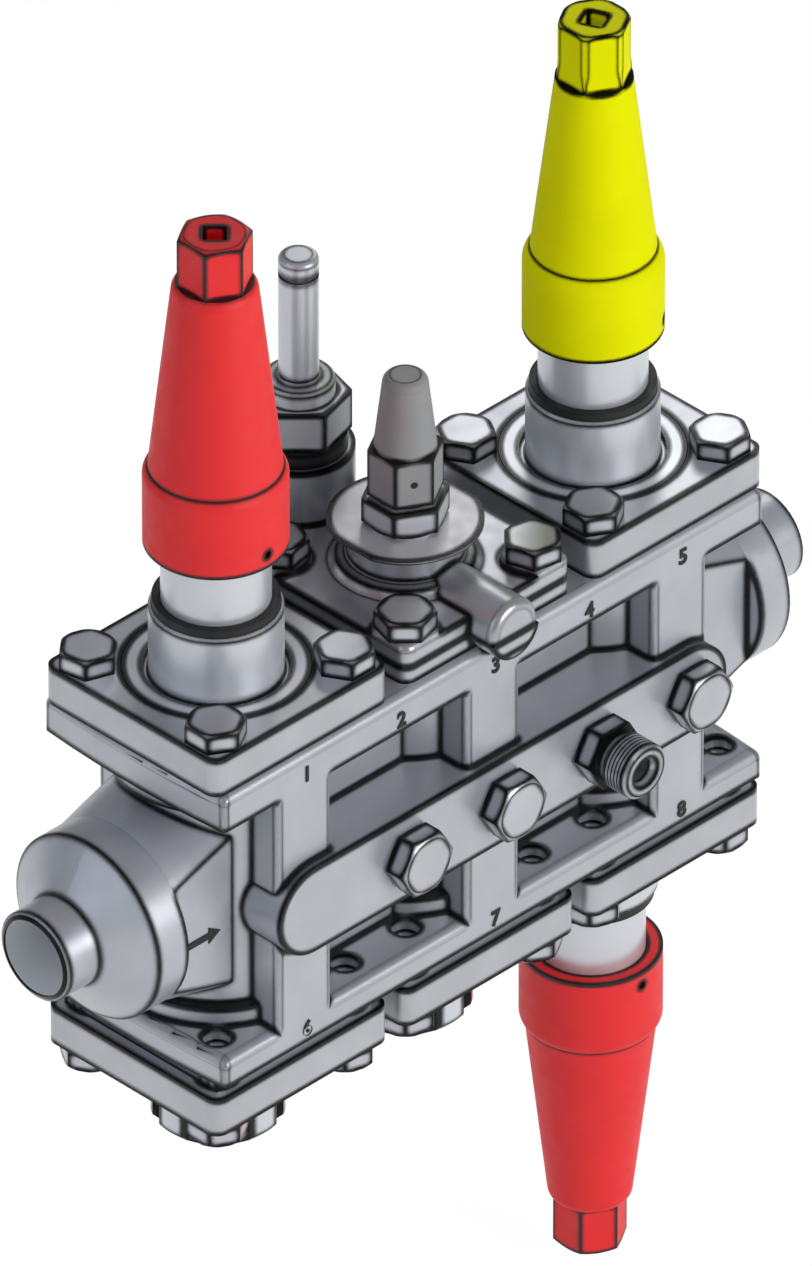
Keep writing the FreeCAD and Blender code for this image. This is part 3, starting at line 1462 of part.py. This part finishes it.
def make_regulating():
    name = "regulating"
    hub = "regulating_web_top + plug_thickness + plug_hub_height"
    return make_valve_module(name, OUTLET) + [
        make_throttle_plug(name + "_plug", OUTLET, "regulating_web_top"),
        make_spindle(name + "_spindle", OUTLET, hub + " - spindle_foot"),
        make_yellow_cap(name + "_cap", OUTLET, -55),
        make_bolts(name + "_bolts", OUTLET, "cover_face + cover_thickness", (30, 0, 20, 0)),
    ]


def make_outlet_stop():
    """The outlet stop hangs below the casting and is drawn open."""
    name = "outlet_stop"
    seat_height = "outlet_web_low + stop_travel"
    hub = seat_height + " + plug_thickness + plug_hub_height"
    return make_valve_module(name, OUTLET, True) + [
        make_stop_plug(name + "_plug", OUTLET, seat_height, True),
        make_spindle(name + "_spindle", OUTLET, hub + " - spindle_foot", "stop_travel", True),
        make_red_cap(name + "_cap", OUTLET, 90, True),
        make_bolts(name + "_bolts", OUTLET, "cover_face + cover_thickness", (15, 30, 0, 20), True),
    ]


def make_bottom_covers():
    pieces = [make_strainer(INLET)]
    for name, axis, angles in (("strainer", INLET, (0, 20, 15, 30)), ("blank", MIDDLE, (10, 0, 30, 15))):
        pieces.append(make_blank_cover(name + "_cover", axis))
        pieces.append(make_drain_plug(name + "_plug", axis))
        pieces.append(make_bolts(name + "_cover_bolts", axis, "cover_face + cover_thickness", angles, True))
    return pieces


def make_solenoid():
    return [
        make_solenoid_plate(),
        make_solenoid_cover(),
        make_tube_washer(),
        make_tube_nut(),
        make_armature_tube(),
        make_armature(),
        make_piston(),
        make_tag(),
        make_manual_nut(),
        make_manual_spindle(),
        make_manual_seal(),
        make_grey_gasket(),
        make_grey_cap(),
        make_bolts("solenoid_cover_bolts", MIDDLE, "solenoid_cover_top", (15, -12, 30, 10)),
    ]


def make_side_ports():
    every_port = range(len(PORTS))
    return [
        group("port_washers", [port_washer(index) for index in every_port]),
        group("port_plugs", [port_plug(index) for index in every_port if index != NIPPLE_PORT]),
        make_service_nipple(),
    ]


def make_cover_seals():
    """The six spigot seals, one in each module bore."""
    seals = []
    for index, axis in enumerate(AXES):
        seals.append(make_seal("top_seal_%d" % (index + 1), axis))
        seals.append(make_seal("bottom_seal_%d" % (index + 1), axis, True))
    return group("cover_seals", seals)


check_and_write([make_casting(), make_cover_seals()] + make_inlet_stop() + make_regulating()
                + make_outlet_stop() + make_bottom_covers() + make_solenoid() + make_side_ports())
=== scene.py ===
import json
import math

import bmesh
import bpy
from mathutils import Matrix, Vector


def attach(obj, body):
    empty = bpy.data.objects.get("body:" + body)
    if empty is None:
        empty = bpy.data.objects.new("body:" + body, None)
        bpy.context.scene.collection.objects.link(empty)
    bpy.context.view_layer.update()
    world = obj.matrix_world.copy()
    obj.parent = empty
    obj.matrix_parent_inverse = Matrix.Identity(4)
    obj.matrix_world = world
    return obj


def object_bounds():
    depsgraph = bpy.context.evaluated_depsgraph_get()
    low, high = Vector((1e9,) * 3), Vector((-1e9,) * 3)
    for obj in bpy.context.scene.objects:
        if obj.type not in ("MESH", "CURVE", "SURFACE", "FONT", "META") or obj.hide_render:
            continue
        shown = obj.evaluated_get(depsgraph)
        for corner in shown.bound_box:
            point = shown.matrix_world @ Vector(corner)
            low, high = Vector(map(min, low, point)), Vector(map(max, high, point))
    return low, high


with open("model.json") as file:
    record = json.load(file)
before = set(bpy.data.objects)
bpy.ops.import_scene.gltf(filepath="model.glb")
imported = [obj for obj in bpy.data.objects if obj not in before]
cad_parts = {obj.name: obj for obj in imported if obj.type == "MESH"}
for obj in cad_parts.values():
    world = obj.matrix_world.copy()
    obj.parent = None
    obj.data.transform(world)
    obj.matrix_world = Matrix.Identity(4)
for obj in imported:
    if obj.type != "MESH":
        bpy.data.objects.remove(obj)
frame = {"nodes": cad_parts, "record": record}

# A cast valve station with six modules. Lengths are in metres, in the frame of the model:
# X along the flow, Z up, the side ports towards -Y.
MM = 0.001
QUARTER_TURN = math.radians(90)
WHITE = (1, 1, 1)
cad_box = [list(corner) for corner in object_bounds()]
nodes = frame["nodes"]

# The camera looks along the diagonal of a cube, from far away, as the photograph does
VIEW_FROM = Vector((-1, -1, 1)).normalized()
VIEW_CENTRE = Vector((178.8, 0, 45.7)) * MM
VIEW_HEIGHT = 432.1 * MM
LENS = 1000
SENSOR = 36
CLIP_END = 100

# The floor lies this far below the part, because the outlet cap comes down as it is screwed off
FLOOR_DROP = 12 * MM
FLOOR_SIZE = 3.0
FLOOR_CELLS = 8
FLOOR_GREY = (0.9, 0.9, 0.9)
FLOOR_ROUGHNESS = 0.9

# The floor's own light towards the camera and in reflections, and how far it covers the shading
FLOOR_GLOW = 1.06
GLOW_SHARE = 0.9

# Lamps, with their places from the middle of the view
LAMPS = {
    "lamp_front": {"place": (0.37, -1.9, 0.6), "size": (1.2, 1.0), "power": 25, "color": WHITE},
    "lamp_left": {"place": (-1.5, 0.2, 0.7), "size": (1.5, 1.5), "power": 6, "color": (0.78, 0.88, 1.0)},
    "lamp_back_right": {"place": (0.425, 0.265, 0.384), "size": (0.26, 0.3), "power": 0.6, "color": WHITE},
}
AMBIENT_COLOR = (0.80, 0.83, 0.88)
AMBIENT_STRENGTH = 0.39

# Colours
CAST_GREY = (0.465, 0.475, 0.51)
PLATE_GREY = (0.46, 0.47, 0.50)
BRIGHT_GREY = (0.62, 0.635, 0.67)
BOLT_GREY = (0.50, 0.51, 0.545)
TAG_GREY = (0.52, 0.515, 0.54)
CAP_GREY = (0.29, 0.29, 0.29)
# Painted light: the paler grey of the weld bores' walls, which lie in shade
PAINTED_LIGHT_BORE_GREY = (0.85, 0.86, 0.88)
MARK_GREY = (0.02, 0.02, 0.021)
RED = (0.85, 0.02, 0.022)
YELLOW = (0.80, 0.80, 0.0)
RUBBER_BLACK = (0.012, 0.012, 0.012)
PACKING_WHITE = (0.8, 0.8, 0.77)
# Painted shade: the washers are real parts, but their near-black stands for the shadow under the plug
# heads
WASHER_SHADE_BLACK = (0.03, 0.03, 0.033)
# Painted shade: a black disc in place of the grey cap's vent hole
VENT_SHADE_BLACK = (0.01, 0.01, 0.01)
# Painted shade: the black of the lines along sharp edges, over the weld ends' end faces and in the
# nipple's thread roots
SHADE_LINE_BLACK = (0.002, 0.002, 0.002)

# Noise: how fine it is, in waves to the metre, and the values that most of it lies between
DRIFT_SCALE = 45
GLOSS_SCALE = 160
COARSE_DETAIL = 3.0
FINE_DETAIL = 4
NOISE_LOW = 0.3
NOISE_HIGH = 0.7
GRAIN_STRENGTH = 0.6

# Painted dark lines along every sharp edge, which neither the steel nor the paint has: painted shade
# where the edge is a crease or seam, a drawn outline where it stands out. The rounded normal leans away
# from the true one there. The line is full below the first cosine of that lean, and gone above the second.
EDGE_WIDTH = 4.4 * MM
CAP_EDGE_WIDTH = 3.4 * MM
EDGE_SAMPLES = 14
LINE_FULL = 0.98
LINE_GONE = 0.9955

# What the polished steels share, and what the painted caps share
POLISHED = {"grain": 3200, "grain_depth": 0.001, "variation": 0.03, "uneven": 0.03}
CAP_PAINT = {"grain": 1800, "grain_depth": 0.02, "line": CAP_EDGE_WIDTH}

# Raised marks on the casting
MARK_SIZE = 8.5 * MM
MARK_RISE = 0.4 * MM
MARK_BOLD = 0.25 * MM
INLET_AXIS = 87.8 * MM
PITCH = 90.7 * MM
SLAB_FRONT = 43.5 * MM
UPPER_MARKS = 5
UPPER_MARK = 54.2 * MM
LOWER_MARK = -52.0 * MM

# The flow arrow, with the sizes of its head and shaft as shares of its length
ARROW_LENGTH = 15 * MM
ARROW_PLACE = (54.3 * MM, -27.5 * MM, -5.3 * MM)
ARROW_HEAD = 0.36
ARROW_WING = 0.22
ARROW_SHAFT = 0.085

# The vent of the grey cap: a black disc of painted shade on a face, in place of a hole
MIDDLE_AXIS = INLET_AXIS + PITCH
GREY_FLATS = 23.3 * MM
VENT_RADIUS = 1.3 * MM
VENT_DEPTH = 1.0 * MM
VENT_RISE = 0.1 * MM
VENT_HEIGHT = 115.2 * MM
VENT_ANGLE = math.radians(-120)
VENT_SIDES = 24

# Weld ends: the bores from the outside faces, whose walls get painted light, and how far the painted shade
# of an end face reaches in
BORE_RADIUS = 14.5 * MM
BORE_LENGTH = 36.5 * MM
OUTLET_FACE = 357 * MM
END_LINE = 0.8 * MM

# Thread of the service nipple, drawn as stripes of painted shade, with its dark root as a share of the
# pitch
THREAD_START = -60.5 * MM
THREAD_END = -69.4 * MM
THREAD_PITCH = 1.5 * MM
THREAD_ROOT = 9.6 * MM
ROOT_SHARE = 0.38
NIPPLE_AXIS = 223.85 * MM


def new_material(name):
    """A node material with only a Principled shader and its output."""
    material = bpy.data.materials.new(name)
    material.use_nodes = True
    tree = material.node_tree
    return material, tree, tree.nodes["Principled BSDF"]


def add_node(tree, kind, **values):
    """A shader node with some of its settings."""
    node = tree.nodes.new(kind)
    for name, value in values.items():
        setattr(node, name, value)
    return node


def math_node(tree, operation, first, second):
    """A sum or test of two values, each a number or an output."""
    node = add_node(tree, "ShaderNodeMath", operation=operation)
    for socket, value in zip(node.inputs, (first, second)):
        if isinstance(value, (int, float)):
            socket.default_value = value
        else:
            tree.links.new(value, socket)
    return node.outputs["Value"]


def mix_color(tree, factor, first, second):
    """Mix two colours; each may be a tuple or an output."""
    node = add_node(tree, "ShaderNodeMix", data_type="RGBA")
    for socket, color in ((node.inputs[6], first), (node.inputs[7], second)):
        if isinstance(color, tuple):
            socket.default_value = (*color, 1)
        else:
            tree.links.new(color, socket)
    tree.links.new(factor, node.inputs[0])
    return node.outputs[2]


def shade(color, share):
    """A colour made darker or lighter."""
    return tuple(channel * share for channel in color)


def object_noise(tree, scale, detail=COARSE_DETAIL):
    """Noise in the object's own metres."""
    place = add_node(tree, "ShaderNodeTexCoord")
    noise = add_node(tree, "ShaderNodeTexNoise")
    noise.inputs["Scale"].default_value = scale
    noise.inputs["Detail"].default_value = detail
    tree.links.new(place.outputs["Object"], noise.inputs["Vector"])
    return noise.outputs["Fac"]


def remap(tree, value, low, high):
    """Turn a noise value into a range."""
    node = add_node(tree, "ShaderNodeMapRange")
    node.inputs["From Min"].default_value = NOISE_LOW
    node.inputs["From Max"].default_value = NOISE_HIGH
    node.inputs["To Min"].default_value = low
    node.inputs["To Max"].default_value = high
    tree.links.new(value, node.inputs["Value"])
    return node.outputs["Result"]


def edge_mask(tree, width):
    """1 along the object's sharp edges and 0 elsewhere: where the lines of painted shade go."""
    bevel = add_node(tree, "ShaderNodeBevel", samples=EDGE_SAMPLES)
    bevel.inputs["Radius"].default_value = width
    geometry = add_node(tree, "ShaderNodeNewGeometry")
    dot = add_node(tree, "ShaderNodeVectorMath", operation="DOT_PRODUCT")
    tree.links.new(bevel.outputs["Normal"], dot.inputs[0])
    tree.links.new(geometry.outputs["Normal"], dot.inputs[1])
    band = add_node(tree, "ShaderNodeMapRange")
    band.inputs["From Min"].default_value = LINE_FULL
    band.inputs["From Max"].default_value = LINE_GONE
    band.inputs["To Min"].default_value = 1
    band.inputs["To Max"].default_value = 0
    tree.links.new(dot.outputs["Value"], band.inputs["Value"])
    return band.outputs["Result"]


def surface(name, color, metallic, roughness, grain=2500, grain_depth=0.02, variation=0.06,
            uneven=0.12, line=EDGE_WIDTH, specular=0.5):
    """A finish with slight colour drift, uneven gloss, a fine grain and dark lines of painted shade along
    its edges.
    """
    material, tree, shader = new_material(name)
    drift = remap(tree, object_noise(tree, DRIFT_SCALE), 0, 1)
    base = mix_color(tree, drift, shade(color, 1 - variation), shade(color, 1 + variation))
    # Painted shade: black lines over the colour along the sharp edges
    base = mix_color(tree, edge_mask(tree, line), base, SHADE_LINE_BLACK)
    tree.links.new(base, shader.inputs["Base Color"])
    gloss_noise = object_noise(tree, GLOSS_SCALE, FINE_DETAIL)
    gloss = remap(tree, gloss_noise, roughness * (1 - uneven), roughness * (1 + uneven))
    tree.links.new(gloss, shader.inputs["Roughness"])
    shader.inputs["Metallic"].default_value = metallic
    shader.inputs["Specular IOR Level"].default_value = specular
    bump = add_node(tree, "ShaderNodeBump")
    bump.inputs["Distance"].default_value = grain_depth * MM
    bump.inputs["Strength"].default_value = GRAIN_STRENGTH
    tree.links.new(object_noise(tree, grain, FINE_DETAIL), bump.inputs["Height"])
    tree.links.new(bump.outputs["Normal"], shader.inputs["Normal"])
    return material


def object_axes(tree):
    """The X, Y and Z of a point, in the object's own metres."""
    place = add_node(tree, "ShaderNodeTexCoord")
    split = add_node(tree, "ShaderNodeSeparateXYZ")
    tree.links.new(place.outputs["Object"], split.inputs["Vector"])
    return split.outputs["X"], split.outputs["Y"], split.outputs["Z"]


def squared_distance(tree, first, second):
    """The square of a point's distance from an axis, from its two offsets."""
    first_part = math_node(tree, "POWER", first, 2)
    second_part = math_node(tree, "POWER", second, 2)
    return math_node(tree, "ADD", first_part, second_part)


def beyond_either(tree, x, low, high):
    """1 below the low place or above the high one."""
    below = math_node(tree, "LESS_THAN", x, low)
    above = math_node(tree, "GREATER_THAN", x, high)
    return math_node(tree, "MAXIMUM", below, above)


def paint(material, mask, color):
    """Lay a colour over a finish where the mask is 1."""
    tree = material.node_tree
    base = tree.nodes["Principled BSDF"].inputs["Base Color"]
    plain = base.links[0].from_socket
    tree.links.new(mix_color(tree, mask, plain, color), base)


def brighten_bores(material):
    """Painted light: a paler, less metallic wall inside the two weld bores, so that the shaded walls look
    lit.
    """
    tree = material.node_tree
    shader = tree.nodes["Principled BSDF"]
    x, y, z = object_axes(tree)
    inside = math_node(tree, "LESS_THAN", squared_distance(tree, y, z), BORE_RADIUS ** 2)
    near_face = beyond_either(tree, x, BORE_LENGTH, OUTLET_FACE - BORE_LENGTH)
    mask = math_node(tree, "MULTIPLY", inside, near_face)
    # Painted light: the bore walls made paler
    paint(material, mask, PAINTED_LIGHT_BORE_GREY)
    metal = shader.inputs["Metallic"].default_value
    less = math_node(tree, "MULTIPLY", mask, metal)
    tree.links.new(math_node(tree, "SUBTRACT", metal, less), shader.inputs["Metallic"])


def blacken_ends(material):
    """Painted shade: black over the narrow end faces of the weld ends, where the painted edge lines on
    both their edges meet.
    """
    tree = material.node_tree
    x = object_axes(tree)[0]
    paint(material, beyond_either(tree, x, END_LINE, OUTLET_FACE - END_LINE), SHADE_LINE_BLACK)


def draw_thread(material):
    """Painted shade: dark stripes for the thread roots outside the service nipple, between two places
    along -Y, in place of grooves.
    """
    tree = material.node_tree
    x, y, z = object_axes(tree)
    turn = math_node(tree, "FRACT", math_node(tree, "DIVIDE", y, THREAD_PITCH), 0)
    root = math_node(tree, "LESS_THAN", turn, ROOT_SHARE)
    past_start = math_node(tree, "LESS_THAN", y, THREAD_START)
    before_end = math_node(tree, "GREATER_THAN", y, THREAD_END)
    along = math_node(tree, "MULTIPLY", past_start, before_end)
    from_axis = math_node(tree, "SUBTRACT", x, NIPPLE_AXIS)
    outside = math_node(tree, "GREATER_THAN", squared_distance(tree, from_axis, z), THREAD_ROOT ** 2)
    mask = math_node(tree, "MULTIPLY", math_node(tree, "MULTIPLY", root, along), outside)
    # Painted shade: dark stripes at the thread roots
    paint(material, mask, SHADE_LINE_BLACK)


def make_finishes():
    """One material for each slot of the record."""
    return {
        "cast_steel": surface("cast_steel", CAST_GREY, 0.6, 0.36, grain=1400, grain_depth=0.05,
                              variation=0.05),
        "machined_steel": surface("machined_steel", PLATE_GREY, 0.7, 0.33, grain=2600, grain_depth=0.015),
        "bright_steel": surface("bright_steel", BRIGHT_GREY, 0.5, 0.3, **POLISHED),
        "bolt_steel": surface("bolt_steel", BOLT_GREY, 0.75, 0.32, grain=3000, grain_depth=0.01),
        "spindle_steel": surface("spindle_steel", BRIGHT_GREY, 0.8, 0.26, **POLISHED),
        "strainer_mesh": surface("strainer_mesh", PLATE_GREY, 0.7, 0.4),
        "tag_steel": surface("tag_steel", TAG_GREY, 0.6, 0.4, grain_depth=0.01),
        "black_rubber": surface("black_rubber", RUBBER_BLACK, 0, 0.6, grain=2000, grain_depth=0.05),
        "packing": surface("packing", PACKING_WHITE, 0, 0.5),
        # Painted shade: the washers' near-black stands for the shadow under the plug heads
        "washer": surface("washer", WASHER_SHADE_BLACK, 0.6, 0.4),
        "red_cap": surface("red_cap", RED, 0, 0.55, variation=0.03, specular=0.4, **CAP_PAINT),
        "yellow_cap": surface("yellow_cap", YELLOW, 0, 0.6, variation=0.03, specular=0.03, **CAP_PAINT),
        "grey_cap": surface("grey_cap", CAP_GREY, 0, 0.5, variation=0.04, specular=0.2, **CAP_PAINT),
    }


def dress_nodes(finishes):
    """Give every node its finish, paint light into the casting's bores and shade on its weld ends, and
    paint shade into the nipple's thread roots.
    """
    slots = {part["node"]: part["material_slot"] for part in frame["record"]["subparts"]}
    for name, node in nodes.items():
        node.data.materials.clear()
        node.data.materials.append(finishes[slots[name]])
    brighten_bores(finishes["cast_steel"])
    blacken_ends(finishes["cast_steel"])
    nipple = surface("nipple_steel", BOLT_GREY, 0.85, 0.3, grain=3000, grain_depth=0.01)
    draw_thread(nipple)
    nodes["service_nipple"].data.materials[0] = nipple


def mesh_piece(name, mesh, body, material):
    """A new piece with one material, which moves with a body."""
    piece = bpy.data.objects.new(name, mesh)
    bpy.context.scene.collection.objects.link(piece)
    piece.data.materials.append(material)
    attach(piece, body)
    return piece


def raised_text(words, size, height):
    """Raised letters as a mesh, centred, in the XY plane."""
    curve = bpy.data.curves.new("letters", "FONT")
    curve.body = words
    curve.size = size
    curve.extrude = height
    curve.offset = MARK_BOLD
    curve.align_x = "CENTER"
    curve.align_y = "CENTER"
    holder = bpy.data.objects.new("letters", curve)
    mesh = bpy.data.meshes.new_from_object(holder)
    bpy.data.objects.remove(holder)
    return mesh


def arrow_mesh(length, height):
    """A flat arrow along X, as thick as a raised mark."""
    half = length / 2
    neck = half - length * ARROW_HEAD
    shaft = length * ARROW_SHAFT
    wing = length * ARROW_WING
    outline = [(-half, -shaft), (neck, -shaft), (neck, -wing), (half, 0), (neck, wing), (neck, shaft),
               (-half, shaft)]
    mesh = bpy.data.meshes.new("arrow")
    tool = bmesh.new()
    face = tool.faces.new([tool.verts.new((x, y, 0)) for x, y in outline])
    lift = bmesh.ops.extrude_face_region(tool, geom=[face])
    moved = [item for item in lift["geom"] if isinstance(item, bmesh.types.BMVert)]
    bmesh.ops.translate(tool, verts=moved, vec=(0, 0, height))
    bmesh.ops.recalc_face_normals(tool, faces=tool.faces)
    tool.to_mesh(mesh)
    tool.free()
    return mesh


def add_numbers(material, stand_up):
    """Plain numbers along the front of the casting, five above and three below."""
    stations = [INLET_AXIS + index * PITCH / 2 for index in range(UPPER_MARKS)]
    places = [(x, UPPER_MARK) for x in stations] + [(x, LOWER_MARK) for x in stations[::2]]
    for number, (x, z) in enumerate(places, 1):
        mesh = raised_text(str(number), MARK_SIZE, MARK_RISE)
        mesh.transform(Matrix.Translation((x, -SLAB_FRONT, z)) @ stand_up)
        mesh_piece("mark_%d" % number, mesh, "casting", material)


def add_cap_vent():
    """A small black disc of painted shade on a face of the grey cap's hexagon, standing in for the vent
    hole.
    """
    mesh = bpy.data.meshes.new("cap_vent")
    tool = bmesh.new()
    bmesh.ops.create_cone(tool, cap_ends=True, segments=VENT_SIDES, radius1=VENT_RADIUS,
                          radius2=VENT_RADIUS, depth=VENT_DEPTH)
    bmesh.ops.translate(tool, verts=tool.verts, vec=(0, 0, GREY_FLATS / 2 - VENT_DEPTH / 2 + VENT_RISE))
    tool.to_mesh(mesh)
    tool.free()
    lean = Matrix.Rotation(QUARTER_TURN, 4, "Y")
    turn = Matrix.Rotation(VENT_ANGLE, 4, "Z")
    mesh.transform(Matrix.Translation((MIDDLE_AXIS, 0, VENT_HEIGHT)) @ turn @ lean)
    # Painted shade: the black disc of the vent
    mesh_piece("cap_vent", mesh, "manual_cap", surface("vent_painted_shade", VENT_SHADE_BLACK, 0, 0.6))


def add_flow_arrow(material, stand_up):
    """A plain arrow on the flat of the inlet neck."""
    mesh = arrow_mesh(ARROW_LENGTH, MARK_RISE)
    mesh.transform(Matrix.Translation(ARROW_PLACE) @ stand_up)
    mesh_piece("flow_arrow", mesh, "casting", material)


def add_marks():
    """The numbers, the vent's painted shade and the arrow."""
    mark = surface("raised_mark", MARK_GREY, 0.2, 0.5, variation=0.1)
    stand_up = Matrix.Rotation(QUARTER_TURN, 4, "X")
    add_numbers(mark, stand_up)
    add_cap_vent()
    add_flow_arrow(mark, stand_up)


def aim(item, target):
    """Turn a lamp or camera towards a point."""
    item.rotation_euler = (target - item.location).to_track_quat("-Z", "Y").to_euler()


def add_camera():
    """The camera of the photograph."""
    data = bpy.data.cameras.new("camera")
    data.lens = LENS
    data.sensor_width = SENSOR
    data.clip_end = CLIP_END
    camera = bpy.data.objects.new("camera", data)
    bpy.context.scene.collection.objects.link(camera)
    distance = VIEW_HEIGHT * LENS / SENSOR
    camera.location = VIEW_CENTRE + VIEW_FROM * distance
    aim(camera, VIEW_CENTRE)
    bpy.context.scene.camera = camera


def add_lamp(name, place, size, power, color):
    """A soft lamp that points at the middle of the view."""
    data = bpy.data.lights.new(name, "AREA")
    data.shape = "RECTANGLE"
    data.size, data.size_y = size
    data.energy = power
    data.color = color
    lamp = bpy.data.objects.new(name, data)
    bpy.context.scene.collection.objects.link(lamp)
    lamp.location = VIEW_CENTRE + Vector(place)
    aim(lamp, VIEW_CENTRE)


def add_studio():
    """Soft lamps, a pale world, and white behind the part."""
    for name, lamp in LAMPS.items():
        add_lamp(name, **lamp)
    world = bpy.data.worlds.new("studio")
    bpy.context.scene.world = world
    world.use_nodes = True
    tree = world.node_tree
    path = add_node(tree, "ShaderNodeLightPath")
    ambient = tree.nodes["Background"]
    ambient.inputs["Color"].default_value = (*AMBIENT_COLOR, 1)
    ambient.inputs["Strength"].default_value = AMBIENT_STRENGTH
    white = add_node(tree, "ShaderNodeBackground")
    white.inputs["Color"].default_value = (*WHITE, 1)
    mix = add_node(tree, "ShaderNodeMixShader")
    tree.links.new(path.outputs["Is Camera Ray"], mix.inputs["Fac"])
    tree.links.new(ambient.outputs["Background"], mix.inputs[1])
    tree.links.new(white.outputs["Background"], mix.inputs[2])
    tree.links.new(mix.outputs["Shader"], tree.nodes["World Output"].inputs["Surface"])


def floor_material():
    """White to the camera and in reflections, with the part's shadow on it."""
    material, tree, shader = new_material("floor_white")
    shader.inputs["Base Color"].default_value = (*FLOOR_GREY, 1)
    shader.inputs["Roughness"].default_value = FLOOR_ROUGHNESS
    path = add_node(tree, "ShaderNodeLightPath")
    glow = add_node(tree, "ShaderNodeEmission")
    glow.inputs["Color"].default_value = (*WHITE, 1)
    glow.inputs["Strength"].default_value = FLOOR_GLOW
    seen = math_node(tree, "MAXIMUM", path.outputs["Is Camera Ray"], path.outputs["Is Glossy Ray"])
    seen = math_node(tree, "MAXIMUM", seen, path.outputs["Is Transmission Ray"])
    mix = add_node(tree, "ShaderNodeMixShader")
    tree.links.new(math_node(tree, "MULTIPLY", seen, GLOW_SHARE), mix.inputs["Fac"])
    tree.links.new(shader.outputs["BSDF"], mix.inputs[1])
    tree.links.new(glow.outputs["Emission"], mix.inputs[2])
    tree.links.new(mix.outputs["Shader"], tree.nodes["Material Output"].inputs["Surface"])
    return material


def add_floor():
    """A white floor that keeps a pale shadow."""
    mesh = bpy.data.meshes.new("floor")
    tool = bmesh.new()
    bmesh.ops.create_grid(tool, x_segments=FLOOR_CELLS, y_segments=FLOOR_CELLS, size=FLOOR_SIZE)
    tool.to_mesh(mesh)
    tool.free()
    floor = bpy.data.objects.new("floor", mesh)
    bpy.context.scene.collection.objects.link(floor)
    floor.location = (VIEW_CENTRE.x, 0, cad_box[0][2] - FLOOR_DROP)
    floor.data.materials.append(floor_material())


bpy.context.scene.view_settings.view_transform = "Standard"
add_camera()
add_studio()
add_floor()
dress_nodes(make_finishes())
add_marks()
